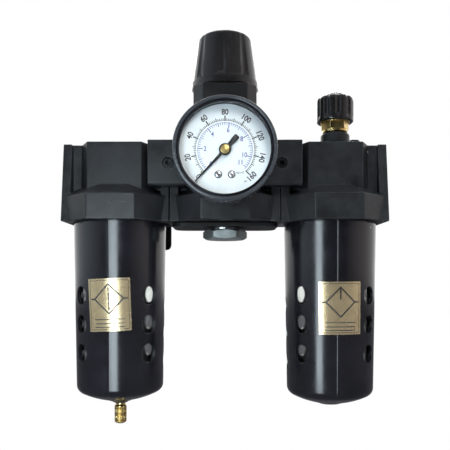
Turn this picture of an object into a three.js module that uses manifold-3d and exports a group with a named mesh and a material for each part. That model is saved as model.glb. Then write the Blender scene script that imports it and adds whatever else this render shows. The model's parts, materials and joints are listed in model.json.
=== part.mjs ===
// Filter regulator lubricator for a compressed air line, in millimetres.
// +Z is up, -Y is the gauge side, and air flows along +X through the port axis.
// The origin is where the port axis crosses the regulator's own axis.
import * as THREE from "three";
import { mergeVertices } from "three/addons/utils/BufferGeometryUtils.js";
import Module from "manifold-3d";

const wasm = await Module();
wasm.setup();

// ---- Driving dimensions -------------------------------------------------
const gap = 0.3; // left between pieces that touch
const runGap = 0.4; // radial clearance of a piece that turns or slides

// bowls and their guards
const guardTopRadius = 27.6;
const guardDraft = 0.0172; // radius lost per millimetre of height, about one degree
const guardWall = 1.7;
const bowlWall = 2.4;
const guardCornerRadius = 5;
const guardDomeRadius = 51;
const filterGuardBottom = -139.5;
const lubricatorGuardBottom = -141.2;
const guardEntry = 9.5; // how far the guard reaches up into the casting
const bowlEntry = 13; // how far the clear bowl reaches up into the casting
const slotRadius = 5.4;
const slotRows = 3;
const slotPitch = 16.8;
const slotColumns = [48, 93, 138]; // degrees from the front, on both sides
const firstSlotHeight = -75.5;
const sideSlotDrop = 7;
const lugHeight = 3;
const lugReach = 1.1;
const lugSpan = 18; // degrees
const lugCount = 3;
const bayonetTurn = 30; // degrees from locked to the entry slots
const bowlSealSection = 1.2;
const bowlClearance = 0.4; // between the clear bowl and its guard
const bowlInset = guardWall + bowlClearance;
const bowlBore = guardTopRadius - bowlInset - bowlWall; // inside the clear bowl's rim
const labelWidth = 25;
const labelHeight = 30;
const filterLabelTop = -65.6;
const lubricatorLabelTop = -67.5;
const labelThickness = 0.4;

// castings
const portRadius = 7.4;
const neckWall = 3.1;
const shoulderDepth = 9.9; // how far the block stands out from the neck, front and back
const portRoof = 6.1; // metal above the port
const bodyTop = portRadius + portRoof;
const bodyBottom = -32.5;
const skirtTop = -17.8;
const blockFoot = -11.5;
const socketWall = 3.4;
const socketSideWall = 2.1;
const lugGrooveRadius = guardTopRadius + runGap + lugReach + gap;
const skirtApothem = lugGrooveRadius + socketWall;
const endWidth = 2 * (lugGrooveRadius + socketSideWall);
const regulatorWidth = 64.8;
const neckHalfDepth = portRadius + neckWall;
const blockHalfDepth = neckHalfDepth + shoulderDepth;
const neckLength = 10.5; // from a casting's end face to the side of its block
const blockCornerCut = 5.2;
const flangeThickness = 5.2;
const flangeStep = 2.5; // how far the flange stands out from the neck at its top
const flangeTopHalfDepth = neckHalfDepth + flangeStep;
const flangeTaper = 6.6; // how much deeper the flange is at its foot, on each side
const flangeBottomHalfDepth = flangeTopHalfDepth + flangeTaper;

// seam seals and clamps
const sealRingMargin = 2.5;
const sealRingRadius = portRadius + sealRingMargin;
const sealSection = 0.8;
const sealGrooveHalfWidth = 1.1;
const clampHalfWidth = 11.6;
const clampTop = bodyTop - gap;
const clampHeight = 25.8;
const clampBottom = clampTop - clampHeight;
const clampPlateThickness = 8.6;
const clampSink = 3; // how far the plate sits back between the blocks
const clampFront = blockHalfDepth - clampSink + clampPlateThickness;
const clampScrewRadius = 3;
const clampScrewLength = 7;
const hexSocketAcross = 2.8;

// filter insides and drain
const elementRadius = 15;
const elementBore = 10;
const elementLength = 40;
const deflectorClearance = 2.6; // to the clear bowl
const deflectorRadius = bowlBore - deflectorClearance;
const deflectorHeight = 7;
const baffleClearance = 4.1; // to the clear bowl
const baffleRadius = bowlBore - baffleClearance;
const baffleHeight = 5;
const postRadius = 3.5;
const bowlTipRadius = 9.5;
const bowlTipDepth = 3.2;
const drainBodyRadius = 3;
const drainKnobRadius = 3.65;
const drainKnobLength = 11.6;

// regulator
const diaphragmRadius = 17;
const bonnetRim = 1.7; // metal outside the diaphragm
const bonnetHalfWidth = diaphragmRadius + bonnetRim;
const bonnetCornerCut = 5.8;
const bonnetFootFlare = 1.5;
const bonnetFootHalfWidth = bonnetHalfWidth + bonnetFootFlare;
const bonnetFootHeight = 14;
const bonnetHeight = 34.7;
const bonnetTop = bodyTop + bonnetHeight;
const bonnetRoofThickness = 3;
const diaphragmClamp = 3.5; // width of the diaphragm's edge that the bonnet holds down
const bonnetBore = diaphragmRadius - diaphragmClamp;
const bonnetNeckStep = 0.5;
const bonnetNeckRadius = bonnetBore + bonnetNeckStep;
const bonnetNeckHeight = 8;
const knobOverhang = 1.5;
const knobRimRadius = bonnetHalfWidth + knobOverhang;
const knobRimHeight = 5;
const knobTaper = 4.3; // radius lost from the rim to the top
const knobTopRadius = knobRimRadius - knobTaper;
const knobHeight = 32.3;
const knobEdgeRadius = 3;
const knobWall = 2.4;
const knobLift = 4;
const fluteCount = 8;
const fluteRadius = 4.2;
const fluteDepth = 1.3;
const firstFluteAngle = 38.25; // degrees from +X
const screwRadius = 4;
const screwTravel = 9;
const springSeatClearance = 1.5; // to the bonnet's bore
const springSeatRadius = bonnetBore - springSeatClearance;
const springSeatHeight = 4;
const screwCollarRadius = 7;
const screwCollarHeight = 2;
const rangeSpringInset = 2.7;
const rangeSpringRadius = springSeatRadius - rangeSpringInset;
const rangeSpringWire = 1.4;
const rangeSpringTurns = 4;
const diaphragmThickness = 1;
const diaphragmPlateClearance = 2.5; // to the bonnet's bore
const diaphragmPlateRadius = bonnetBore - diaphragmPlateClearance;
const diaphragmPlateHeight = 2;
const chamberRadius = bonnetBore;
const chamberFloorWall = 2.2; // metal between the port and the diaphragm's chamber
const chamberFloor = portRadius + chamberFloorWall;
const seatHeight = -16;
const seatRadius = 3.2;
const poppetOverlap = 2.3; // how far the valve covers its seat
const poppetRadius = seatRadius + poppetOverlap;
const poppetHeight = 3;
const poppetStemRadius = 1.3;
const plugShankWall = 2.5;
const plugShankRadius = poppetRadius + plugShankWall + 0.5;
const plugCollarWidth = 2;
const plugCollarRadius = plugShankRadius + plugCollarWidth;
const plugHexMargin = 1.3; // how far the hexagon's flats pass its washer
const plugHexAcross = 2 * (plugCollarRadius + plugHexMargin);
const plugHexHeight = 6;
const coverInset = 1; // from the regulator's end faces
const coverHalfWidth = regulatorWidth / 2 - coverInset;
const coverCorner = 9;
const coverHalfDepth = 17;
const coverEndHalfDepth = 9;
const coverThickness = 2.3;
const plugSealThickness = 0.4;

// gauge
const gaugeRadius = 26.75;
const bezelWidth = 3.6;
const dialRadius = gaugeRadius - bezelWidth;
const gaugeFront = 65;
const gaugeBack = 38.5;
const gaugeCaseWall = 1.6;
const bezelDepth = 9;
const lensThickness = 2;
const dialThickness = 0.8;
const dialRecess = 7.2;
const pointerClearance = 0.75; // from its tip to the bezel
const pointerReach = dialRadius - pointerClearance;
const pointerTail = 9.5;
const pointerRestAngle = -137; // degrees clockwise from the top
const stemRadius = 6.4;
const stemNeckStep = 1; // how much slimmer the stem is where it enters the case
const stemBlockDepth = 6;
const airwayRadius = 1.2;
const stemHexAcross = 14;

// lubricator head
const feedX = 2.6;
const feedY = -4;
const feedBossRadius = 8.7;
const feedBossHeight = 8.5;
const feedBossTop = bodyTop + feedBossHeight;
const feedHexAcross = 14.4;
const feedHexHeight = 6;
const feedHexTop = feedBossTop + feedHexHeight;
const feedCollarRadius = 9;
const feedCollarHeight = 2.5;
const feedCollarTop = feedHexTop + feedCollarHeight;
const dripKnobWall = 2;
const dripKnobRadius = feedCollarRadius + dripKnobWall;
const dripKnobBottom = feedHexTop + gap;
const dripKnobHeight = 15.3;
const dripKnobTop = dripKnobBottom + dripKnobHeight;
const sightInset = 1.7;
const sightRadius = feedCollarRadius - sightInset;
const sightRise = 2.8; // how far the window stands above its knob
const sightTop = dripKnobTop + sightRise;
const sightWall = 1.4;
const fillPlugInset = 5; // from the side of the block
const fillPlugX = endWidth / 2 - neckLength - fillPlugInset;
const fillPlugY = 5;
const fillPlugAcross = 6.688;
const fillPlugHeight = 6;
const siphonRadius = 2;
const siphonClearance = 13.2; // above the bottom of the guard
const siphonBottom = lubricatorGuardBottom + siphonClearance;

// wall bracket
const bracketInset = 3.5; // from the casting's end faces
const bracketHalfWidth = endWidth / 2 - bracketInset;
const bracketDrop = 0.5; // below the top of the casting
const bracketTop = bodyTop - bracketDrop;
const bracketBottom = -46.6;
const bracketThickness = 2;
const bracketCorner = 4;
const bracketScrewRadius = 2.5;
const bracketScrewSpread = 9;

// Facets round a turned piece, from small hidden passages to large faces in plain view.
const roughSides = 8;
const pinSides = 10;
const boreSides = 12;
const screwSides = 16;
const plainSides = 20;
const roundSides = 24;
const gaugeSides = 32;
const foilSides = 48;

// ---- Places worked out from the dimensions -----------------------------
const seamX = regulatorWidth / 2;
const endX = seamX + endWidth / 2;
const guardTop = bodyBottom + guardEntry;
const bowlTop = bodyBottom + bowlEntry;
const bowlSealRadius = guardTopRadius - bowlInset - bowlWall / 2;
const rad = THREE.MathUtils.degToRad;

// ---- Shared shape helpers ----------------------------------------------
// A closed geometry as a solid, with doubled corners merged and empty triangles dropped.
function solidFrom(geometry) {
  const bare = new THREE.BufferGeometry();
  bare.setAttribute("position", geometry.getAttribute("position"));
  if (geometry.index) bare.setIndex(geometry.index);
  const merged = mergeVertices(bare, 1e-4);
  const corners = [];
  for (let i = 0; i < merged.index.count; i += 3) {
    const [a, b, c] = [0, 1, 2].map((k) => merged.index.getX(i + k));
    if (a !== b && b !== c && c !== a) corners.push(a, b, c);
  }
  return new wasm.Manifold(
    new wasm.Mesh({
      numProp: 3,
      vertProperties: new Float32Array(merged.attributes.position.array),
      triVerts: new Uint32Array(corners),
    }),
  );
}

function geometryFrom(solid) {
  const mesh = solid.getMesh();
  const points = new Float32Array(mesh.numVert * 3);
  for (let i = 0; i < mesh.numVert; i++) {
    const start = i * mesh.numProp;
    points.set(mesh.vertProperties.subarray(start, start + 3), i * 3);
  }
  const geometry = new THREE.BufferGeometry();
  geometry.setAttribute("position", new THREE.BufferAttribute(points, 3));
  geometry.setIndex(new THREE.BufferAttribute(mesh.triVerts, 1));
  geometry.computeVertexNormals();
  return geometry;
}

// A profile of [radius, height] points turned about Z. It runs either way round.
function turned(profile, sides = roundSides) {
  const first = profile[0];
  const last = profile[profile.length - 1];
  const closed = first[0] === last[0] && first[1] === last[1];
  let area = 0;
  for (let i = 0; i < profile.length; i++) {
    const [r0, z0] = profile[i];
    const [r1, z1] = profile[(i + 1) % profile.length];
    area += r0 * z1 - r1 * z0;
  }
  const points = profile.map(([r, z]) => new THREE.Vector2(r, z));
  if (area < 0) points.reverse();
  if (!closed && points[0].x !== 0) points.push(points[0].clone());
  return solidFrom(new THREE.LatheGeometry(points, sides).rotateX(Math.PI / 2));
}

const disc = (radius, low, high, sides = roundSides) =>
  turned([[0, low], [radius, low], [radius, high], [0, high]], sides);

const ring = (inner, outer, low, high, sides = roundSides) =>
  turned([[inner, low], [outer, low], [outer, high], [inner, high], [inner, low]], sides);

// A flat outline pushed up from one height to another.
function prism(points, low, high) {
  const outline = new THREE.Shape(points.map(([x, y]) => new THREE.Vector2(x, y)));
  const depth = high - low;
  const geometry = new THREE.ExtrudeGeometry(outline, { depth, bevelEnabled: false });
  return solidFrom(geometry.translate(0, 0, low));
}

function box(x0, x1, y0, y1, z0, z1) {
  const geometry = new THREE.BoxGeometry(x1 - x0, y1 - y0, z1 - z0);
  return solidFrom(geometry.translate((x0 + x1) / 2, (y0 + y1) / 2, (z0 + z1) / 2));
}

// A regular polygon measured across its flats, with one flat facing the front.
function polygon(sides, across) {
  const corner = across / 2 / Math.cos(Math.PI / sides);
  return Array.from({ length: sides }, (_, i) => {
    const angle = (2 * Math.PI * (i + 0.5)) / sides - Math.PI / 2;
    return [corner * Math.cos(angle), corner * Math.sin(angle)];
  });
}

const alongX = (solid) => solid.rotate([0, 90, 0]);
const alongY = (solid) => solid.rotate([-90, 0, 0]);
const join = (...solids) => solids.reduce((sum, piece) => sum.add(piece));
const cut = (solid, ...holes) => holes.reduce((rest, hole) => rest.subtract(hole), solid);

function torus(radius, section, height, sides = screwSides) {
  const geometry = new THREE.TorusGeometry(radius, section, 5, sides);
  return solidFrom(geometry.translate(0, 0, height));
}

// A round wire wound into a spring, from one height to another.
class Helix extends THREE.Curve {
  constructor(radius, low, high, turns) {
    super();
    Object.assign(this, { radius, low, high, turns });
  }
  getPoint(t, target = new THREE.Vector3()) {
    const angle = 2 * Math.PI * this.turns * t;
    const height = this.low + (this.high - this.low) * t;
    return target.set(this.radius * Math.cos(angle), this.radius * Math.sin(angle), height);
  }
}

const wireSection = (radius, sides) =>
  new THREE.Shape(
    Array.from({ length: sides }, (_, i) => {
      const angle = (2 * Math.PI * i) / sides;
      return new THREE.Vector2(radius * Math.cos(angle), radius * Math.sin(angle));
    }),
  );

function wireAlong(curve, radius, steps, sides = 5) {
  const options = { extrudePath: curve, steps, bevelEnabled: false };
  return solidFrom(new THREE.ExtrudeGeometry(wireSection(radius, sides), options));
}

function springWire(radius, wire, low, high, turns) {
  return wireAlong(new Helix(radius, low + wire, high - wire, turns), wire, turns * 8);
}

// ---- Finishes -----------------------------------------------------------
const finish = (color, roughness, metalness, opacity = 1) => ({
  color,
  roughness,
  metalness,
  opacity,
  transparent: opacity < 1,
});
const castBlack = finish(0x16181a, 0.45, 0.1);
const glossBlack = finish(0x0b0b0c, 0.18, 0);
const clearPlastic = finish(0xdfe8ea, 0.05, 0, 0.35);
const rubberBlack = finish(0x101010, 0.8, 0);
const brass = finish(0xc9a850, 0.28, 1);
const steel = finish(0x8d9094, 0.35, 1);
const darkSteel = finish(0x232527, 0.4, 0.8);
const whitePlastic = finish(0xe6e6e0, 0.6, 0);
const bronze = finish(0xa87b45, 0.7, 0.6);
const aluminium = finish(0xb9bcbf, 0.35, 1);
const dialWhite = finish(0xe8f1f5, 0.5, 0);
const goldFoil = finish(0xc7ae6a, 0.35, 0.7);

// Adds one named piece to a group.
function add(group, name, solid, look) {
  const mesh = new THREE.Mesh(geometryFrom(solid), new THREE.MeshStandardMaterial(look));
  mesh.name = name;
  group.add(mesh);
}

const unit = new THREE.Group();
const filter = new THREE.Group();
const regulator = new THREE.Group();
const lubricator = new THREE.Group();
const gauge = new THREE.Group();
filter.position.x = -endX;
lubricator.position.x = endX;
unit.add(filter, regulator, gauge, lubricator);

// ---- Castings -----------------------------------------------------------
// The outside that all three castings share: an eight-sided skirt, a sloped
// shoulder, a block with cut corners, a neck to each side and an end flange.
function casting(width) {
  const half = width / 2 - gap / 2;
  const blockSide = width / 2 - neckLength;
  const blockFront = blockSide - blockCornerCut;
  const corner = skirtApothem / Math.cos(Math.PI / 8);
  const shoulder = blockHalfDepth / Math.cos(Math.PI / 8);
  const skirt = turned(
    [[0, bodyBottom], [corner, bodyBottom], [corner, skirtTop], [shoulder, blockFoot], [0, blockFoot]],
    roughSides,
  ).rotate([0, 0, 22.5]);
  const block = prism(
    [
      [-blockFront, -blockHalfDepth],
      [blockFront, -blockHalfDepth],
      [blockSide, -neckHalfDepth],
      [blockSide, neckHalfDepth],
      [blockFront, blockHalfDepth],
      [-blockFront, blockHalfDepth],
      [-blockSide, neckHalfDepth],
      [-blockSide, -neckHalfDepth],
    ],
    skirtTop,
    bodyTop,
  );
  const neck = box(-half, half, -neckHalfDepth, neckHalfDepth, skirtTop, bodyTop);
  const sides = box(-half, half, -2 * skirtApothem, 2 * skirtApothem, bodyBottom, bodyTop);
  return join(skirt.intersect(sides), block, neck, flange(-half), flange(half));
}

// A wedge-shaped end flange whose outer face stands at the given X.
function flange(faceX) {
  const wedge = prism(
    [
      [-flangeBottomHalfDepth, bodyBottom],
      [flangeBottomHalfDepth, bodyBottom],
      [flangeTopHalfDepth, bodyTop],
      [-flangeTopHalfDepth, bodyTop],
    ],
    0,
    flangeThickness,
  );
  // The outline's first axis becomes Y, its second Z, and the push runs along X.
  const upright = wedge.rotate([90, 0, 90]);
  return upright.translate([faceX < 0 ? faceX : faceX - flangeThickness, 0, 0]);
}

// The hollow that takes the guard's rim, its bayonet lugs and the clear bowl's rim.
function bowlSocket() {
  const rim = guardTopRadius + runGap;
  const lugTop = guardTop - gap;
  const cavity = join(
    disc(rim, bodyBottom - 1, guardTop + gap),
    disc(lugGrooveRadius, lugTop - lugHeight - 2 * gap, guardTop + gap),
    disc(guardTopRadius - guardWall, bodyBottom, bowlTop + gap),
  );
  const entries = eachLug((angle) =>
    wedgeBlock(lugSpan + 4, lugGrooveRadius, bodyBottom - 1, guardTop, angle + bayonetTurn),
  );
  return join(cavity, ...entries);
}

// The groove for the bowl's O-ring in the roof of the socket.
function bowlSealGroove() {
  const width = bowlSealSection + gap;
  const roof = bowlTop + gap;
  return ring(bowlSealRadius - width, bowlSealRadius + width, roof - gap, roof + 2 * width);
}

const eachLug = (make) =>
  Array.from({ length: lugCount }, (_, i) => make(90 + (360 * i) / lugCount));

// A slice of a disc, as wide as the given span in degrees.
function wedgeBlock(span, radius, low, high, angle) {
  const steps = 2;
  const points = [[0, 0]];
  for (let i = 0; i <= steps; i++) {
    const turn = rad(angle + span * (i / steps - 0.5));
    points.push([radius * Math.cos(turn), radius * Math.sin(turn)]);
  }
  return prism(points, low, high);
}

const portBore = (fromX, toX) => alongX(disc(portRadius, 0, toX - fromX)).translate([fromX, 0, 0]);

// A groove for the seam's O-ring in the face that stands at the given X.
function sealGroove(faceX) {
  const width = sealGrooveHalfWidth;
  const depth = 2 * sealSection + gap;
  const groove = ring(sealRingRadius - width, sealRingRadius + width, -1, depth);
  return alongX(faceX < 0 ? groove : groove.mirror([0, 0, 1])).translate([faceX, 0, 0]);
}

// ---- Filter casting -----------------------------------------------------
{
  const half = endWidth / 2;
  const wall = 1.6;
  const dropRadius = 3.2;
  const body = cut(
    casting(endWidth),
    bowlSocket(),
    bowlSealGroove(),
    portBore(-half - 1, -wall / 2 - portRadius),
    portBore(-wall, half + 1),
    disc(dropRadius, bodyBottom, 0).translate([-portRadius - 2 * dropRadius - wall, 0, 0]),
    disc(postRadius + gap, bowlTop, -portRadius - 2),
    disc(dropRadius / 2, bowlTop, 0).translate([postRadius + dropRadius, 0, 0]),
    sealGroove(half - gap / 2),
    ...bracketScrewHoles(),
  );
  add(filter, "filter_body", body, castBlack);
}

// Blind holes in the back of the skirt for the wall bracket's screws.
function bracketScrewHoles() {
  const depth = 3.4;
  return [-1, 1].map((side) =>
    alongY(disc(bracketScrewRadius + 0.1, 0, depth + 1, screwSides))
      .translate([side * bracketScrewSpread, skirtApothem - depth, bracketScrewHeight()]),
  );
}

function bracketScrewHeight() {
  return (bodyBottom + skirtTop) / 2;
}

// ---- Bowls and guards ---------------------------------------------------
// The guard's outline from its rim to its bottom opening, moved inwards by an inset.
function guardOutline(bottom, inset, topHeight, endRadius) {
  const domeCentre = bottom + guardDomeRadius;
  const side = (z) => guardTopRadius - guardDraft * (bodyBottom - z) - inset;
  const sideEnd = bottom + 2 * guardCornerRadius;
  const cornerX = side(sideEnd) + inset - guardCornerRadius;
  const reach = guardDomeRadius - guardCornerRadius;
  const cornerZ = domeCentre - Math.sqrt(reach * reach - cornerX * cornerX);
  const cornerEnd = Math.atan2(cornerZ - domeCentre, cornerX);
  const points = [[side(bodyBottom), topHeight], [side(bodyBottom), bodyBottom]];
  const cornerSteps = 2;
  for (let i = 0; i <= cornerSteps; i++) {
    const angle = (cornerEnd * i) / cornerSteps;
    const r = guardCornerRadius - inset;
    points.push([cornerX + r * Math.cos(angle), cornerZ + r * Math.sin(angle)]);
  }
  const domeRadius = guardDomeRadius - inset;
  const domeEnd = -Math.acos(endRadius / domeRadius);
  const domeSteps = 2;
  for (let i = 1; i <= domeSteps; i++) {
    const angle = cornerEnd + ((domeEnd - cornerEnd) * i) / domeSteps;
    points.push([domeRadius * Math.cos(angle), domeCentre + domeRadius * Math.sin(angle)]);
  }
  return points;
}

const slotHeights = (column, extra) =>
  Array.from({ length: slotRows }, (_, i) => {
    const drop = column === 1 ? sideSlotDrop : 0;
    return firstSlotHeight - drop - i * (slotPitch + extra);
  });

function guardSolid(bottom, openingRadius) {
  const outer = guardOutline(bottom, 0, guardTop, openingRadius);
  const inner = guardOutline(bottom, guardWall, guardTop, openingRadius);
  const shell = turned([...outer, ...inner.reverse(), outer[0]], plainSides);
  const extra = (filterGuardBottom - bottom) / (2 * slotRows);
  const slots = [];
  for (const side of [-1, 1]) {
    slotColumns.forEach((column, index) => {
      for (const height of slotHeights(index, extra)) {
        const hole = alongY(disc(slotRadius, -guardTopRadius - 2, -guardTopRadius / 2, 6));
        slots.push(hole.rotate([0, 0, side * column]).translate([0, 0, height]));
      }
    });
  }
  const lugTop = guardTop - gap;
  const lugRoot = disc(guardTopRadius - guardWall / 2, bodyBottom, 0);
  const lugs = eachLug((angle) =>
    wedgeBlock(lugSpan, guardTopRadius + lugReach, lugTop - lugHeight, lugTop, angle).subtract(lugRoot),
  );
  return join(cut(shell, ...slots), ...lugs);
}

// A thin foil wrapped round the front of the guard.
function labelSolid(labelTop, turn) {
  const radius = (z) => guardTopRadius - guardDraft * (bodyBottom - z) + gap;
  const low = labelTop - labelHeight;
  const band = turned([
    [radius(low), low],
    [radius(low) + labelThickness, low],
    [radius(labelTop) + labelThickness, labelTop],
    [radius(labelTop), labelTop],
    [radius(low), low],
  ], foilSides);
  const span = THREE.MathUtils.radToDeg(labelWidth / guardTopRadius);
  return band.intersect(wedgeBlock(span, guardTopRadius * 2, low - 1, labelTop + 1, turn - 90));
}

function bowlSolid(bottom, holeRadius) {
  const outer = guardOutline(bottom, bowlInset, bowlTop, bowlTipRadius - gap);
  const inner = guardOutline(bottom, bowlInset + bowlWall, bowlTop, bowlTipRadius - gap);
  const end = outer[outer.length - 1][1];
  const profile = [
    [holeRadius, end + bowlWall],
    ...inner.reverse(),
    ...outer,
    [bowlTipRadius - gap - 2, end - bowlTipDepth],
    [holeRadius, end - bowlTipDepth],
  ];
  if (holeRadius) profile.push(profile[0]);
  return turned(profile, 18);
}

for (const [group, kind, bottom, hole, labelHigh, turn] of [
  [filter, "filter", filterGuardBottom, drainBodyRadius + gap, filterLabelTop, -3.6],
  [lubricator, "lubricator", lubricatorGuardBottom, 0, lubricatorLabelTop, 3.2],
]) {
  add(group, kind + "_bowl_guard", guardSolid(bottom, bowlTipRadius), glossBlack);
  add(group, kind + "_bowl", bowlSolid(bottom, hole), clearPlastic);
  add(group, kind + "_label", labelSolid(labelHigh, turn), goldFoil);
  const sealHeight = bowlTop + gap + bowlSealSection;
  add(group, kind + "_bowl_seal", torus(bowlSealRadius, bowlSealSection, sealHeight), rubberBlack);
}

// ---- Filter insides -----------------------------------------------------
{
  const roof = bowlTop + gap;
  const deflectorTop = roof - gap;
  const plate = 2;
  const vaneCount = 8;
  const vane = box(elementRadius + 0.6, deflectorRadius, -0.6, 0.6, -deflectorHeight, -plate + 0.2);
  const vanes = Array.from({ length: vaneCount }, (_, i) => vane.rotate([0, 0, (360 * i) / vaneCount]));
  const deflector = join(ring(elementBore + 1, deflectorRadius, -plate, 0), ...vanes);
  add(filter, "filter_deflector", deflector.translate([0, 0, deflectorTop]), whitePlastic);

  const elementTop = deflectorTop - plate - gap;
  const elementBottom = elementTop - elementLength;
  add(filter, "filter_element", ring(elementBore, elementRadius, elementBottom, elementTop), bronze);

  const baffleTop = elementBottom - gap;
  const rimDrop = baffleTop - baffleHeight;
  const plateWall = 1.6;
  const baffle = turned([
    [postRadius + gap, baffleTop],
    [elementRadius, baffleTop],
    [baffleRadius, rimDrop],
    [baffleRadius - 1.5, rimDrop],
    [elementRadius - 1, baffleTop - plateWall],
    [postRadius + gap, baffleTop - plateWall],
    [postRadius + gap, baffleTop],
  ]);
  add(filter, "filter_baffle", baffle, whitePlastic);

  const nutTop = baffleTop - plateWall - gap;
  const nutAcross = 11;
  const nutHeight = 4;
  const nut = prism(polygon(6, nutAcross), nutTop - nutHeight, nutTop);
  const post = join(disc(postRadius, nutTop - 1, -portRadius - 2 - gap, screwSides), nut);
  add(filter, "filter_element_post", post, aluminium);
}

// ---- Drain --------------------------------------------------------------
{
  const bowlEnd = bowlSolid(filterGuardBottom, drainBodyRadius + gap).boundingBox().min[2];
  const floor = bowlEnd + bowlTipDepth + bowlWall;
  const neckEnd = bowlEnd - 2.4;
  const nut = prism(polygon(6, 9), floor + gap, floor + 3);
  const body = join(disc(drainBodyRadius, neckEnd, floor + 3, screwSides), nut);
  add(filter, "drain_body", cut(body, disc(1.2, neckEnd - 1, floor + 4, boreSides)), brass);
  const washerTop = bowlEnd - gap;
  const washerOuter = drainBodyRadius + 1.6;
  const washer = ring(drainBodyRadius + gap, washerOuter, washerTop - 0.8, washerTop, screwSides);
  add(filter, "drain_washer", washer, rubberBlack);
  const top = neckEnd - gap;
  const end = top - drainKnobLength;
  const knob = turned([
    [0, end],
    [drainKnobRadius * 0.6, end + 0.2],
    [drainKnobRadius, end + 1.4],
    [drainKnobRadius, top - 0.6],
    [drainKnobRadius - 0.6, top],
    [0, top],
  ], plainSides);
  add(filter, "drain_knob", knob, brass);
}

// ---- Regulator casting --------------------------------------------------
const diaphragmBottom = bodyTop - gap - diaphragmThickness;
const chamberWall = plugShankRadius + gap;
{
  const half = regulatorWidth / 2;
  const dropRadius = 2;
  const dropX = dropRadius - chamberWall;
  const gaugePortDepth = 8;
  const gaugePort = join(
    alongY(disc(stemRadius + gap, -blockHalfDepth - 1, gaugePortDepth - blockHalfDepth, plainSides)),
    alongY(disc(dropRadius, -blockHalfDepth, -portRadius + 1, boreSides)),
  );
  const body = cut(
    casting(regulatorWidth),
    portBore(-half - 1, dropX + dropRadius),
    portBore(-seatRadius - 0.1, half + 1),
    disc(dropRadius, seatHeight - 1, 0, boreSides).translate([dropX, 0, 0]),
    disc(seatRadius, seatHeight - 1, 0, plainSides),
    disc(chamberWall, bodyBottom - 1, seatHeight),
    disc(poppetStemRadius + gap, 0, chamberFloor + 1, boreSides),
    disc(1, portRadius - 2, chamberFloor + 1, roughSides).translate([chamberRadius / 2, 0, 0]),
    disc(chamberRadius, chamberFloor, bodyTop + 1),
    disc(diaphragmRadius + gap, diaphragmBottom - gap, bodyTop + 1),
    gaugePort,
    gaugePort.rotate([0, 0, 180]),
  );
  add(regulator, "regulator_body", body, castBlack);

  const plugEnd = blockHalfDepth - gaugePortDepth + gap;
  const rearPlug = join(
    alongY(disc(stemRadius, plugEnd, blockHalfDepth + gap, plainSides)),
    alongY(disc(stemRadius + 1.6, blockHalfDepth + gap, blockHalfDepth + gap + 1.6, plainSides)),
  );
  const socket = alongY(prism(polygon(6, 5), blockHalfDepth - 3, blockHalfDepth + 4));
  add(regulator, "rear_port_plug", cut(rearPlug, socket), darkSteel);
  add(gauge, "gauge_stem", gaugeStem(-plugEnd), brass);
}

// The gauge's brass socket: a threaded end, wrench flats, and the block that
// holds the pressure tube inside the case.
function gaugeStem(portEnd) {
  const blockFront = -gaugeBack - gaugeCaseWall - stemBlockDepth;
  const stem = join(
    alongY(disc(stemRadius, -blockHalfDepth - gap, portEnd, plainSides)),
    alongY(prism(polygon(4, stemHexAcross), -gaugeBack + gap, -blockHalfDepth - gap)),
    alongY(disc(stemRadius - stemNeckStep, -gaugeBack - gaugeCaseWall - 1, -gaugeBack + gap, plainSides)),
    box(-3, 3, blockFront, -gaugeBack - gaugeCaseWall - gap, -18, 5),
  );
  return cut(stem, alongY(disc(airwayRadius, -gaugeBack, portEnd + 1, boreSides)));
}

// A square outline with its corners cut off.
function cutSquare(half, corner) {
  const near = half - corner;
  return [
    [-near, -half], [near, -half], [half, -near], [half, near],
    [near, half], [-near, half], [-half, near], [-half, -near],
  ];
}

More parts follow.
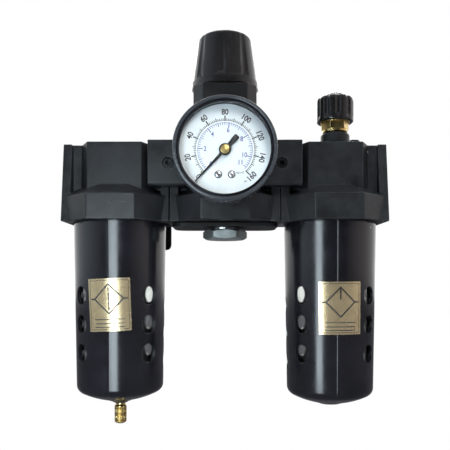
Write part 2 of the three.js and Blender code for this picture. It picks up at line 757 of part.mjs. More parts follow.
// ---- Regulator bonnet, knob and spring ----------------------------------
const bonnetBottom = bodyTop + gap;
const bonnetRoof = bonnetTop - bonnetRoofThickness;
const screwCollarTop = bonnetRoof - gap;
const springSeatTop = screwCollarTop - screwCollarHeight - gap;
const springTop = springSeatTop - springSeatHeight - gap;
const plateBottom = bodyTop;
const plateTop = plateBottom + diaphragmPlateHeight;
const knobBottom = bonnetTop + gap;
const knobTop = knobBottom + knobHeight;
{
  const foot = turned(
    [
      [0, bonnetBottom],
      [bonnetFootHalfWidth * Math.SQRT2, bonnetBottom],
      [bonnetHalfWidth * Math.SQRT2, bonnetBottom + bonnetFootHeight],
      [0, bonnetBottom + bonnetFootHeight],
    ],
    4,
  ).rotate([0, 0, 45]);
  // A small hole through one side lets the spring's chamber breathe.
  const breather = alongY(disc(1, -bonnetFootHalfWidth - 1, 0, roughSides)).rotate([0, 0, 90]);
  const bonnet = cut(
    join(
      foot.intersect(prism(cutSquare(bonnetFootHalfWidth, bonnetCornerCut), bonnetBottom, bonnetTop)),
      prism(cutSquare(bonnetHalfWidth, bonnetCornerCut), bonnetBottom, bonnetTop),
      disc(bonnetNeckRadius, bonnetRoof, bonnetTop + bonnetNeckHeight),
    ),
    disc(bonnetBore, bonnetBottom - 1, bonnetRoof),
    disc(screwRadius + runGap, bonnetRoof - 1, bonnetTop + bonnetNeckHeight + 1, plainSides),
    breather.translate([0, 0, bonnetBottom + 6]),
  );
  add(regulator, "bonnet", bonnet, castBlack);

  const shoulderZ = knobBottom + knobRimHeight;
  const neckRadius = knobRimRadius - 0.7;
  const outside = turned(
    [
      [0, knobBottom],
      [knobRimRadius - 0.6, knobBottom],
      [knobRimRadius, knobBottom + 0.8],
      [knobRimRadius - 0.3, shoulderZ - 0.6],
      [neckRadius, shoulderZ],
      [knobTopRadius + 0.3, knobTop - knobEdgeRadius],
      [knobTopRadius - 0.6, knobTop - knobEdgeRadius * 0.4],
      [knobTopRadius - knobEdgeRadius * 0.7, knobTop - 0.2],
      [0, knobTop],
    ],
  );
  const lean = THREE.MathUtils.radToDeg(Math.atan2(neckRadius - knobTopRadius, knobTop - shoulderZ));
  const flutes = Array.from({ length: fluteCount }, (_, i) =>
    disc(fluteRadius, 0, 2 * knobHeight, roughSides)
      .rotate([0, -lean, 0])
      .translate([neckRadius + fluteRadius - fluteDepth, 0, shoulderZ])
      .rotate([0, 0, firstFluteAngle + (360 * i) / fluteCount]),
  );
  const hollow = turned([
    [screwRadius + 3, knobBottom - 1],
    [neckRadius - knobWall, knobBottom - 1],
    [neckRadius - knobWall, shoulderZ],
    [knobTopRadius - knobWall, knobTop - knobEdgeRadius - 1],
    [screwRadius + 3, knobTop - knobEdgeRadius - 1],
    [screwRadius + 3, knobBottom - 1],
  ]);
  const bossBottom = bonnetTop + bonnetNeckHeight + gap;
  const screwTop = knobTop - knobEdgeRadius - knobLift;
  const knob = cut(
    outside,
    ...flutes,
    hollow,
    disc(screwRadius + 4, knobBottom - 1, bossBottom, plainSides),
    disc(screwRadius + gap, knobBottom, screwTop + gap, plainSides),
  );
  add(regulator, "adjusting_knob", knob, glossBlack);

  const screwBottom = springTop - screwTravel - gap;
  const screw = join(
    disc(screwRadius, screwBottom, screwTop, plainSides),
    disc(screwCollarRadius, screwCollarTop - screwCollarHeight, screwCollarTop, plainSides),
  );
  add(regulator, "adjusting_screw", screw, steel);

  const springPilot = rangeSpringRadius - 2 * rangeSpringWire;
  const seat = cut(
    join(
      disc(springSeatRadius, springSeatTop - springSeatHeight, springSeatTop),
      disc(springPilot, springSeatTop - springSeatHeight - 2, springSeatTop),
    ),
    disc(screwRadius + runGap, 0, springSeatTop + 1, plainSides),
  );
  add(regulator, "spring_seat", seat, steel);

  const spring = springWire(rangeSpringRadius, rangeSpringWire, plateTop + gap, springTop, rangeSpringTurns);
  add(regulator, "range_spring", spring, steel);

  const plate = join(
    disc(diaphragmPlateRadius, plateBottom, plateTop),
    disc(springPilot, plateBottom, plateTop + 2),
  );
  add(regulator, "diaphragm_plate", plate, aluminium);
  const sheet = disc(diaphragmRadius, diaphragmBottom, diaphragmBottom + diaphragmThickness);
  add(regulator, "diaphragm", sheet, rubberBlack);
}

// ---- Regulator valve and bottom plug ------------------------------------
{
  const coverBottom = bodyBottom - gap - coverThickness;
  const sealBottom = coverBottom - gap - plugSealThickness;
  const hexTop = sealBottom - gap;
  const hexBottom = hexTop - plugHexHeight;
  const shankTop = seatHeight - 11;
  const springFloor = hexTop - 1;
  const springRoom = plugShankRadius - plugShankWall;

  const near = coverHalfWidth - coverCorner;
  const outline = new THREE.Shape();
  outline.moveTo(-near, -coverHalfDepth);
  outline.lineTo(near, -coverHalfDepth);
  outline.quadraticCurveTo(coverHalfWidth, -coverHalfDepth, coverHalfWidth, -coverEndHalfDepth);
  outline.lineTo(coverHalfWidth, coverEndHalfDepth);
  outline.quadraticCurveTo(coverHalfWidth, coverHalfDepth, near, coverHalfDepth);
  outline.lineTo(-near, coverHalfDepth);
  outline.quadraticCurveTo(-coverHalfWidth, coverHalfDepth, -coverHalfWidth, coverEndHalfDepth);
  outline.lineTo(-coverHalfWidth, -coverEndHalfDepth);
  outline.quadraticCurveTo(-coverHalfWidth, -coverHalfDepth, -near, -coverHalfDepth);
  const options = { depth: coverThickness, bevelEnabled: false, curveSegments: 5 };
  const slab = solidFrom(new THREE.ExtrudeGeometry(outline, options).translate(0, 0, coverBottom));
  add(regulator, "bottom_cover", cut(slab, disc(chamberWall, coverBottom - 1, bodyBottom)), castBlack);

  const washer = ring(chamberWall, plugCollarRadius, sealBottom, sealBottom + plugSealThickness, plainSides);
  add(regulator, "bottom_plug_washer", washer, aluminium);

  const hexCorner = plugHexAcross / Math.sqrt(3);
  const chamfer = turned([
    [0, hexBottom],
    [plugHexAcross / 2 - 0.4, hexBottom],
    [hexCorner, hexBottom + 1.3],
    [hexCorner, hexTop - 1.3],
    [plugHexAcross / 2 - 0.4, hexTop],
    [0, hexTop],
  ], 18);
  const hex = prism(polygon(6, plugHexAcross), hexBottom, hexTop).intersect(chamfer);
  const plug = cut(
    join(hex, disc(plugShankRadius, hexTop, shankTop)),
    disc(springRoom, springFloor, shankTop + 1),
  );
  add(regulator, "bottom_plug", plug, darkSteel);

  const poppetTop = seatHeight - gap;
  const poppetBottom = poppetTop - poppetHeight;
  const guideRadius = 2.5;
  const valveSpringRadius = guideRadius + 1.4;
  const poppet = join(
    disc(poppetRadius, poppetBottom, poppetTop),
    disc(poppetStemRadius, poppetTop, diaphragmBottom - 2 * gap, boreSides),
    disc(guideRadius, poppetBottom - 8, poppetBottom, boreSides),
  );
  add(regulator, "valve_poppet", poppet, brass);
  const spring = springWire(valveSpringRadius, 0.5, springFloor + gap, poppetBottom - gap, 5);
  add(regulator, "valve_spring", spring, steel);
}

// ---- Gauge --------------------------------------------------------------
{
  const front = -gaugeFront;
  const lip = 2.5;
  const bezelWall = 0.8;
  const caseRadius = gaugeRadius - bezelWall - gap;
  const stemNeck = stemRadius - stemNeckStep;
  const lensFront = front + lip + gap;
  const lensBack = lensFront + lensThickness;
  const caseFront = lensBack + gap;
  const dialFront = front + dialRecess;
  const bezelBack = front + bezelDepth;
  const bezel = turned([
    [dialRadius, front + 0.7],
    [dialRadius + 0.9, front],
    [gaugeRadius - 1.3, front],
    [gaugeRadius, front + 1.6],
    [gaugeRadius, bezelBack],
    [caseRadius + gap, bezelBack],
    [caseRadius + gap, front + lip],
    [dialRadius, front + lip],
    [dialRadius, front + 0.7],
  ], gaugeSides);
  add(gauge, "gauge_bezel", alongY(bezel), glossBlack);
  add(gauge, "gauge_lens", alongY(disc(caseRadius - 0.2, lensFront, lensBack, gaugeSides)), clearPlastic);

  const shell = turned([
    [stemNeck + gap, -gaugeBack],
    [caseRadius - 2, -gaugeBack],
    [caseRadius, -gaugeBack - 2],
    [caseRadius, caseFront],
    [caseRadius - gaugeCaseWall, caseFront],
    [caseRadius - gaugeCaseWall, -gaugeBack - gaugeCaseWall],
    [stemNeck + gap, -gaugeBack - gaugeCaseWall],
    [stemNeck + gap, -gaugeBack],
  ], gaugeSides);
  add(gauge, "gauge_case", alongY(shell), castBlack);

  const dialBack = dialFront + dialThickness;
  const dial = ring(1.5, caseRadius - gaugeCaseWall - gap, dialFront, dialBack, gaugeSides);
  add(gauge, "gauge_dial", alongY(dial), dialWhite);

  const arborRadius = 0.9;
  const plateFront = -gaugeBack - 11.5;
  const plateBack = plateFront + 1.6;
  const footEnd = -gaugeBack - gaugeCaseWall - stemBlockDepth - gap;
  const feet = [-1, 1].map((side) =>
    alongY(disc(1, plateBack, footEnd, roughSides)).translate([side * 2, 0, -1]),
  );
  const movement = cut(
    join(box(-9, 9, plateFront, plateBack, -7, 7), ...feet),
    alongY(disc(arborRadius + gap, plateFront - 1, plateBack + 1, boreSides)),
  );
  add(gauge, "gauge_movement", movement, brass);

  const tubeRadius = 16;
  const tubeStart = -76; // degrees
  const tubeSweep = 266; // degrees
  const tubeSteps = 14;
  const tubeY = -gaugeBack - gaugeCaseWall - 3.2;
  const tubePath = new THREE.CatmullRomCurve3(
    Array.from({ length: tubeSteps + 1 }, (_, i) => {
      const angle = rad(tubeStart + (tubeSweep * i) / tubeSteps);
      return new THREE.Vector3(tubeRadius * Math.cos(angle), tubeY, tubeRadius * Math.sin(angle));
    }),
  );
  add(gauge, "bourdon_tube", wireAlong(tubePath, 1.5, 18, 8), bronze);

  // The pointer is drawn pointing up and then turned to its stop.
  const pointerFront = lensBack + gap;
  const tipWidth = 0.2;
  const hubWidth = 0.55;
  const tailWidth = 0.9;
  const bladeThickness = 0.5;
  const bladeBack = pointerFront + 0.7;
  const hubRadius = 3.1;
  const hubThickness = 0.8;
  const blade = prism(
    [
      [-hubWidth, 0],
      [-tipWidth, pointerReach],
      [tipWidth, pointerReach],
      [hubWidth, 0],
      [tailWidth, -pointerTail],
      [-tailWidth, -pointerTail],
    ],
    0,
    bladeThickness,
  ).rotate([90, 0, 0]);
  const pointer = join(
    blade.translate([0, bladeBack, 0]),
    alongY(disc(hubRadius, pointerFront, pointerFront + hubThickness)),
    alongY(disc(arborRadius, pointerFront, plateBack, pinSides)),
  );
  add(gauge, "gauge_pointer", pointer.rotate([0, pointerRestAngle, 0]), glossBlack);
}

// ---- Lubricator casting and head ----------------------------------------
{
  const half = endWidth / 2;
  const shankBottom = bodyTop + 1.5;
  const shankRadius = 5;
  const fillShankRadius = 2.6;
  const fillShankBottom = portRadius + 2;
  const siphonX = -6;
  const siphonTop = bowlTop + 7;
  const atFeed = (solid) => solid.translate([feedX, feedY, 0]);
  const atFill = (solid) => solid.translate([fillPlugX, fillPlugY, 0]);
  const atSiphon = (solid) => solid.translate([siphonX, 0, 0]);
  const boss = turned([
    [0, bodyTop - 1],
    [feedBossRadius, bodyTop - 1],
    [feedBossRadius, feedBossTop - 1.5],
    [feedBossRadius - 1.5, feedBossTop],
    [0, feedBossTop],
  ]);
  const body = cut(
    join(casting(endWidth), atFeed(boss)),
    bowlSocket(),
    bowlSealGroove(),
    portBore(-half - 1, half + 1),
    sealGroove(-half + gap / 2),
    atFeed(disc(shankRadius + gap, shankBottom - gap, feedBossTop + 1, plainSides)),
    atFeed(disc(1.5, 0, feedBossTop, pinSides)),
    atFill(disc(fillShankRadius + gap, fillShankBottom - gap, bodyTop + 1, screwSides)),
    atSiphon(disc(siphonRadius + gap, bowlTop, siphonTop + gap, boreSides)),
  );
  add(lubricator, "lubricator_body", body, castBlack);

  const tube = ring(siphonRadius - 0.8, siphonRadius, siphonBottom, siphonTop, boreSides);
  add(lubricator, "siphon_tube", atSiphon(tube), clearPlastic);
  const foot = ring(siphonRadius + gap, siphonRadius + 2, siphonBottom - 2, siphonBottom + 8, screwSides);
  add(lubricator, "siphon_foot", atSiphon(foot), bronze);

  const flapRadius = portRadius - 1.2;
  const pinHeight = flapRadius - 1;
  const flap = join(
    alongX(disc(flapRadius, 0, 0.8, plainSides)),
    alongY(disc(0.8, -3.5, 3.5, pinSides)).translate([0.4, 0, pinHeight]),
  );
  add(lubricator, "flow_flap", flap.translate([-16, 0, 0]), bronze);

  const washerTop = feedBossTop + gap + 1.5;
  const base = cut(
    join(
      disc(shankRadius, shankBottom, washerTop, plainSides),
      disc(feedBossRadius - 1.2, feedBossTop + gap, washerTop),
      prism(polygon(6, feedHexAcross), washerTop, feedHexTop),
      disc(feedCollarRadius, feedHexTop, feedCollarTop, plainSides),
    ),
    disc(2.5, shankBottom - 1, feedCollarTop + 1, boreSides),
  );
  add(lubricator, "sight_feed_base", atFeed(base), brass);

  const innerStep = feedCollarTop + gap;
  const ringBody = turned([
    [feedCollarRadius + runGap, dripKnobBottom],
    [dripKnobRadius - 0.6, dripKnobBottom],
    [dripKnobRadius, dripKnobBottom + 0.8],
    [dripKnobRadius, dripKnobTop - 2],
    [dripKnobRadius - 1.6, dripKnobTop],
    [sightRadius + gap, dripKnobTop],
    [sightRadius + gap, innerStep],
    [feedCollarRadius + runGap, innerStep],
    [feedCollarRadius + runGap, dripKnobBottom],
  ], plainSides);
  const grips = 10;
  const gripCuts = Array.from({ length: grips }, (_, i) =>
    disc(2.2, dripKnobBottom + 3, dripKnobTop + 1, 6)
      .translate([dripKnobRadius + 1.4, 0, 0])
      .rotate([0, 0, (360 * (i + 0.5)) / grips]),
  );
  add(lubricator, "drip_knob", atFeed(cut(ringBody, ...gripCuts)), glossBlack);

  const domeBase = innerStep + 0.2;
  const domeShoulder = dripKnobTop - 0.6;
  const rise = sightTop - domeShoulder;
  const dome = turned([
    [0, sightTop - sightWall],
    [sightRadius * 0.5 - sightWall / 2, domeShoulder + rise * 0.87 - sightWall],
    [sightRadius - sightWall, domeShoulder],
    [sightRadius - sightWall, domeBase],
    [sightRadius, domeBase],
    [sightRadius, domeShoulder],
    [sightRadius * 0.87, domeShoulder + rise * 0.5],
    [sightRadius * 0.5, domeShoulder + rise * 0.87],
    [0, sightTop],
  ], plainSides);
  add(lubricator, "sight_dome", atFeed(dome), clearPlastic);

  const needleTop = sightTop - sightWall - gap;
  const needleRadius = 0.9;
  const pointEnd = shankBottom + 6;
  const pointLength = 3;
  const needle = turned(
    [[0, pointEnd], [needleRadius, pointEnd + pointLength], [needleRadius, needleTop], [0, needleTop]],
    boreSides,
  );
  add(lubricator, "feed_needle", atFeed(needle), brass);

  const fillHeadBottom = bodyTop + gap;
  const fillHeadTop = fillHeadBottom + fillPlugHeight;
  const fillHead = prism(polygon(6, fillPlugAcross), fillHeadBottom, fillHeadTop);
  const fill = join(disc(fillShankRadius, fillShankBottom, fillHeadBottom, screwSides), fillHead);
  add(lubricator, "fill_plug", atFill(fill), darkSteel);
}

// ---- Joints between the castings ----------------------------------------
for (const [side, name] of [[-1, "left"], [1, "right"]]) {
  const jawInner = flangeThickness + gap + 0.15;
  const jawOuter = neckLength - 2 * gap;
  const plateBack = clampPlateThickness - clampFront;
  const bevel = 1.2;
  const plate = prism(
    [
      [-clampFront, clampBottom + bevel],
      [-clampFront + bevel, clampBottom],
      [plateBack, clampBottom],
      [plateBack, clampTop],
      [-clampFront, clampTop],
    ],
    -clampHalfWidth,
    clampHalfWidth,
  ).rotate([90, 0, 90]);
  const jaws = [-1, 1].map((way) => {
    const reach = box(jawInner, jawOuter, plateBack - 0.5, -neckHalfDepth - gap, clampBottom, clampTop);
    return way < 0 ? reach.mirror([1, 0, 0]) : reach;
  });
  const hole = alongY(disc(clampScrewRadius + gap, -clampFront - 1, plateBack + 1, screwSides));
  const clamp = cut(join(plate, ...jaws), hole);
  const head = -clampFront + 0.5;
  const socket = alongY(prism(polygon(6, hexSocketAcross), head - 1, head + 3));
  const screw = cut(alongY(disc(clampScrewRadius, head, head + clampScrewLength, screwSides)), socket);
  for (const [turn, place] of [[0, "front"], [180, "rear"]]) {
    const seat = (solid) => solid.rotate([0, 0, turn]).translate([side * seamX, 0, 0]);
    add(unit, `${place}_clamp_${name}`, seat(clamp), castBlack);
    add(unit, `${place}_clamp_screw_${name}`, seat(screw), darkSteel);
  }
  const ringX = side * (seamX + gap / 2 + sealSection + 0.1);
  const seal = alongX(torus(sealRingRadius, sealSection, 0)).translate([ringX, 0, 0]);
  add(unit, `seam_seal_${name}`, seal, rubberBlack);
}

// ---- Wall bracket -------------------------------------------------------
{
  const front = skirtApothem + gap;
  const back = front + bracketThickness;
  const edge = bracketHalfWidth;
  const outline = new THREE.Shape();
  outline.moveTo(-edge + bracketCorner, bracketBottom);
  outline.lineTo(edge - bracketCorner, bracketBottom);
  outline.quadraticCurveTo(edge, bracketBottom, edge, bracketBottom + bracketCorner);
  outline.lineTo(edge, bracketTop);
  outline.lineTo(-edge, bracketTop);
  outline.lineTo(-edge, bracketBottom + bracketCorner);
  outline.quadraticCurveTo(-edge, bracketBottom, -edge + bracketCorner, bracketBottom);
  const options = { depth: bracketThickness, bevelEnabled: false, curveSegments: 4 };
  const flat = solidFrom(new THREE.ExtrudeGeometry(outline, options));
  const plate = flat.rotate([90, 0, 0]).translate([0, back, 0]);
  const through = (radius, x, z) =>
    alongY(disc(radius, front - 1, back + 1, screwSides)).translate([x, 0, z]);
  // The screws are countersunk, so that nothing stands proud of the face that meets the wall.
  const wallHoleRadius = 3.3;
  const wallHoleInset = 8;
  const headRadius = 4.1;
  const headRecess = 0.2;
  const headDepth = headRadius - bracketScrewRadius;
  const socketAcross = 3;
  const socketDepth = 1.2;
  const shankEnd = skirtApothem - 3;
  const screwZ = bracketScrewHeight();
  const cone = (narrow, wide, y) =>
    alongY(turned([[0, y - headDepth], [narrow, y - headDepth], [wide, y], [0, y]], plainSides));
  const sinkFor = (side) => cone(bracketScrewRadius + gap, headRadius + 2 * gap, back + 0.01)
    .translate([side * bracketScrewSpread, 0, screwZ]);
  const bracket = cut(
    plate,
    ...[-1, 1].flatMap((side) => [
      through(wallHoleRadius, side * (edge - wallHoleInset), bracketTop - wallHoleInset),
      through(bracketScrewRadius + gap, side * bracketScrewSpread, screwZ),
    ]),
    ...[-1, 1].map(sinkFor),
  );
  add(filter, "wall_bracket", bracket, darkSteel);
  for (const [side, name] of [[-1, "left"], [1, "right"]]) {
    const headTop = back - headRecess;
    const screw = cut(
      join(
        alongY(disc(bracketScrewRadius, shankEnd, headTop - headDepth / 2, screwSides)),
        cone(bracketScrewRadius, headRadius, headTop),
      ),
      alongY(prism(polygon(6, socketAcross), headTop - socketDepth, headTop + 1)),
    );
    add(filter, "bracket_screw_" + name, screw.translate([side * bracketScrewSpread, 0, screwZ]), steel);
  }
}

export default unit;
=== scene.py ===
import json
import math

import bmesh
import bpy
from mathutils import Matrix, Vector
from mathutils.bvhtree import BVHTree
from mathutils.geometry import delaunay_2d_cdt

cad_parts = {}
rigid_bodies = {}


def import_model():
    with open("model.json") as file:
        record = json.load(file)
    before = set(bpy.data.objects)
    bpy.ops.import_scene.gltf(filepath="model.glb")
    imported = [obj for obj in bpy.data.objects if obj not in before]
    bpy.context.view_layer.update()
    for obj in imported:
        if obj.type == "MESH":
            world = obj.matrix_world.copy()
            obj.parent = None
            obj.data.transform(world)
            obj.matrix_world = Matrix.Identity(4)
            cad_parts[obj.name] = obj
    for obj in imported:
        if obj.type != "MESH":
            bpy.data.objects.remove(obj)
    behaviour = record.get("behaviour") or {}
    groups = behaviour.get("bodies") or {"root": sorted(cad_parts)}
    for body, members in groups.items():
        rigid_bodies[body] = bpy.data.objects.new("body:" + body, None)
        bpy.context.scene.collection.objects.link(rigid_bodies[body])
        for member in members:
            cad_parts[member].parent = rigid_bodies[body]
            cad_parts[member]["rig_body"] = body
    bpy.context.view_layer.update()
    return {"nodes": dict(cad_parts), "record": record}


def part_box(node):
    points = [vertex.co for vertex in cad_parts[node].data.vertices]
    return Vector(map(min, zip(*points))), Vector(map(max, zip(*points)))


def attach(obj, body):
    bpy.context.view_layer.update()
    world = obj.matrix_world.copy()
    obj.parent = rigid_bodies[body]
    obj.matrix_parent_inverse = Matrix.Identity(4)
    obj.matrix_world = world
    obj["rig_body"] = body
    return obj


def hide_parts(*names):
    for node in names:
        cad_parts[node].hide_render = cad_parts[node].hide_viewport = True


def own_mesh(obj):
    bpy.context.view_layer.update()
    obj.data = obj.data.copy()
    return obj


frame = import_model()

# ---- Camera, floor and studio light ------------------------------------------
# The unit hangs from its wall bracket in front of a white sweep, so nothing of the floor
# shows but white. An upright strip light stands close in at the left, and soft boxes stand
# overhead, in front at the right and behind.
MM = 0.001
STUDIO_WHITE = (1.0, 1.0, 1.0, 1.0)


def put(tree, kind, feeds=None, **settings):
    """One shader node, with its settings made and its sockets set or linked."""
    made = tree.nodes.new(kind)
    for key, value in settings.items():
        setattr(made, key, value)
    for key, value in (feeds or {}).items():
        socket = made.inputs[key]
        if isinstance(value, bpy.types.NodeSocket):
            tree.links.new(value, socket)
        else:
            socket.default_value = value
    return made


def calc(tree, operation, first, second=0.0, clamp=False):
    """The result socket of one sum."""
    return put(tree, "ShaderNodeMath", {0: first, 1: second},
               operation=operation, use_clamp=clamp).outputs[0]


def mixed(tree, share, first, second):
    """Two colours mixed by a share."""
    return put(tree, "ShaderNodeMix", {0: share, 6: first, 7: second},
               data_type="RGBA").outputs[2]


def spread(tree, value, low, high, start=0.0, end=1.0):
    """A value's range from low to high stretched to start to end, and kept there."""
    return put(tree, "ShaderNodeMapRange", {0: value, 1: low, 2: high, 3: start, 4: end}).outputs[0]


camera = bpy.data.objects.new("camera", bpy.data.cameras.new("camera"))
bpy.context.scene.collection.objects.link(camera)
camera.location = (0, -0.355, -0.0665)
camera.rotation_euler = (math.radians(90), 0, 0)
camera.data.sensor_width = 36
camera.data.lens = 46.4
camera.data.shift_y = 0.122
camera.data.clip_start = 0.01
bpy.context.scene.camera = camera
bpy.context.scene.view_settings.view_transform = "Standard"

world = bpy.data.worlds.new("white_sweep")
bpy.context.scene.world = world
world.use_nodes = True
sky = world.node_tree
sky.nodes.clear()
heading = put(sky, "ShaderNodeSeparateXYZ", {0: put(sky, "ShaderNodeTexCoord").outputs["Generated"]})
behind = spread(sky, heading.outputs["Y"], -0.1, 0.75)
overhead = spread(sky, heading.outputs["Z"], 0.35, 0.95)
leftward = spread(sky, heading.outputs["X"], -0.45, -1.0)
rightward = spread(sky, heading.outputs["X"], 0.5, 1.0)
room = mixed(sky, leftward, (0.013, 0.014, 0.016, 1), (0.85, 1.0, 1.1, 1))
room = mixed(sky, rightward, room, (0.85, 0.77, 0.74, 1))
room = mixed(sky, overhead, room, (0.42, 0.44, 0.47, 1))
room = mixed(sky, behind, room, (1.25, 1.25, 1.25, 1))
seen = mixed(sky, put(sky, "ShaderNodeLightPath").outputs["Is Camera Ray"], room, STUDIO_WHITE)
sky_light = put(sky, "ShaderNodeBackground", {"Color": seen, "Strength": 1.0})
put(sky, "ShaderNodeOutputWorld", {"Surface": sky_light.outputs[0]})

for name, place, aim, width, height, power, tint in (
    ("rear_fill", (0.0, 0.80, 0.40), (0, 0.0, -0.04), 0.60, 0.45, 3.0, (1.0, 1.0, 1.0)),
    ("strip_light", (-0.087, -0.217, -0.116), (-0.010, -0.02, -0.116), 0.07, 0.256, 0.62, (0.80, 0.93, 1.0)),
    ("overhead_box", (0.05, -0.22, 0.95), (0, -0.03, 0.0), 0.50, 0.40, 6.0, (1.0, 0.99, 0.98)),
    ("key_box", (0.26, -0.82, 0.52), (0, -0.03, 0.0), 0.40, 0.35, 14.0, (1.0, 0.975, 0.94)),
):
    lamp = bpy.data.lights.new(name, "AREA")
    lamp.shape = "RECTANGLE"
    lamp.size = width
    lamp.size_y = height
    lamp.energy = power
    lamp.color = tint
    holder = bpy.data.objects.new(name, lamp)
    holder.location = place
    holder.rotation_euler = (Vector(aim) - Vector(place)).to_track_quat("-Z", "Y").to_euler()
    holder.visible_camera = False
    holder.visible_glossy = name in ("strip_light", "rear_fill")
    bpy.context.scene.collection.objects.link(holder)

floor_mesh = bpy.data.meshes.new("floor")
half_floor = 3.0
floor_level = -0.2
floor_mesh.from_pydata(
    [(-half_floor, -half_floor, floor_level), (half_floor, -half_floor, floor_level),
     (half_floor, half_floor, floor_level), (-half_floor, half_floor, floor_level)],
    [], [(0, 1, 2, 3)])
floor = bpy.data.objects.new("floor", floor_mesh)
bpy.context.scene.collection.objects.link(floor)
floor_paint = bpy.data.materials.new("white_floor")
floor_paint.use_nodes = True
tree = floor_paint.node_tree
tree.nodes.clear()
rays = put(tree, "ShaderNodeLightPath")
pale = put(tree, "ShaderNodeBsdfDiffuse", {"Color": (0.86, 0.86, 0.86, 1)})
dim = put(tree, "ShaderNodeEmission", {"Color": (0.16, 0.16, 0.18, 1), "Strength": 1.0})
glow = put(tree, "ShaderNodeEmission", {"Color": STUDIO_WHITE, "Strength": 1.0})
mirrored = put(tree, "ShaderNodeMixShader", {
    0: rays.outputs["Is Glossy Ray"], 1: pale.outputs[0], 2: dim.outputs[0]})
either = put(tree, "ShaderNodeMixShader", {
    0: rays.outputs["Is Camera Ray"], 1: mirrored.outputs[0], 2: glow.outputs[0]})
put(tree, "ShaderNodeOutputMaterial", {"Surface": either.outputs[0]})
floor_mesh.materials.append(floor_paint)

# ---- Castings, clamps and bonnet ----------------------------------------------
# Three zinc die castings, bolted together by clamp plates front and rear, under a baked satin
# black enamel, a little uneven on the flats and holding dust. Edges are lighter: thin worn enamel
# and a painted highlight. Each starts from the imported solid and gets its cast edges.


def socket_group(name, ins, outs):
    """An empty shader group with named sockets: (name, kind, value)."""
    made = bpy.data.node_groups.new(name, "ShaderNodeTree")
    for label, kind, value in ins:
        socket = made.interface.new_socket(label, in_out="INPUT", socket_type="NodeSocket" + kind)
        socket.default_value = value
    for label, kind in outs:
        made.interface.new_socket(label, in_out="OUTPUT", socket_type="NodeSocket" + kind)
    return made, made.nodes.new("NodeGroupInput").outputs, made.nodes.new("NodeGroupOutput").inputs


# Uneven colour in soft patches, a fine grain that can run along one direction,
# lighter edges that are partly worn paint and partly a painted highlight, and specks of pale dust.
surface_group, given, result = socket_group(
    "surface_detail",
    [("Colour", "Color", (0.02, 0.02, 0.02, 1)), ("Patch Colour", "Color", (0.03, 0.03, 0.03, 1)),
     ("Patch Scale", "Float", 60.0), ("Grain Scale", "Float", 900.0), ("Grain Run", "Vector", (1, 1, 1)),
     ("Smoothest", "Float", 0.3), ("Roughest", "Float", 0.5), ("Worn Edge and Highlight Colour", "Color", (0.1, 0.1, 0.1, 1)),
     ("Edge Width", "Float", 0.0005), ("Edge Share", "Float", 0.5),
     ("Dust Colour", "Color", (0.6, 0.6, 0.6, 1)), ("Dust Share", "Float", 0.0)],
    [("Colour", "Color"), ("Roughness", "Float"), ("Height", "Float")])
t = surface_group
spot = put(t, "ShaderNodeTexCoord").outputs["Object"]
patches = put(t, "ShaderNodeTexNoise", {"Vector": spot, "Scale": given["Patch Scale"], "Detail": 5.0,
                                        "Roughness": 0.62}).outputs[0]
patches = spread(t, patches, 0.36, 0.66)
run = put(t, "ShaderNodeVectorMath", {0: spot, 1: given["Grain Run"]}, operation="MULTIPLY").outputs[0]
grain = put(t, "ShaderNodeTexNoise", {"Vector": run, "Scale": given["Grain Scale"],
                                      "Detail": 3.0}).outputs[0]
# Edge mask: the rounded edges take the edge colour, partly as worn paint and partly as a painted highlight.
rounded = put(t, "ShaderNodeBevel", {"Radius": given["Edge Width"]}, samples=6).outputs[0]
flat = put(t, "ShaderNodeNewGeometry").outputs["Normal"]
agree = put(t, "ShaderNodeVectorMath", {0: rounded, 1: flat}, operation="DOT_PRODUCT").outputs["Value"]
edge = spread(t, agree, 0.998, 0.93)
edge = calc(t, "MULTIPLY", edge, spread(t, patches, 0.0, 1.0, 0.35, 1.0))
edge = calc(t, "MULTIPLY", edge, given["Edge Share"], clamp=True)
cell = put(t, "ShaderNodeTexVoronoi", {"Vector": spot, "Scale": 260.0})
near = spread(t, cell.outputs["Distance"], 0.10, 0.04)
chosen = put(t, "ShaderNodeSeparateColor", {0: cell.outputs["Color"]}).outputs[0]
few = calc(t, "LESS_THAN", chosen, given["Dust Share"])
dust = calc(t, "MULTIPLY", near, few)
colour = mixed(t, patches, given["Colour"], given["Patch Colour"])
colour = mixed(t, edge, colour, given["Worn Edge and Highlight Colour"])
colour = mixed(t, dust, colour, given["Dust Colour"])
rough = calc(t, "ADD", calc(t, "MULTIPLY", patches, 0.6), calc(t, "MULTIPLY", grain, 0.4))
rough = put(t, "ShaderNodeMapRange", {0: rough, 1: 0.2, 2: 0.8, 3: given["Smoothest"], 4: given["Roughest"]})
t.links.new(colour, result["Colour"])
t.links.new(calc(t, "ADD", rough.outputs[0], calc(t, "MULTIPLY", dust, 0.4)), result["Roughness"])
t.links.new(calc(t, "ADD", grain, calc(t, "MULTIPLY", dust, 2.0)), result["Height"])


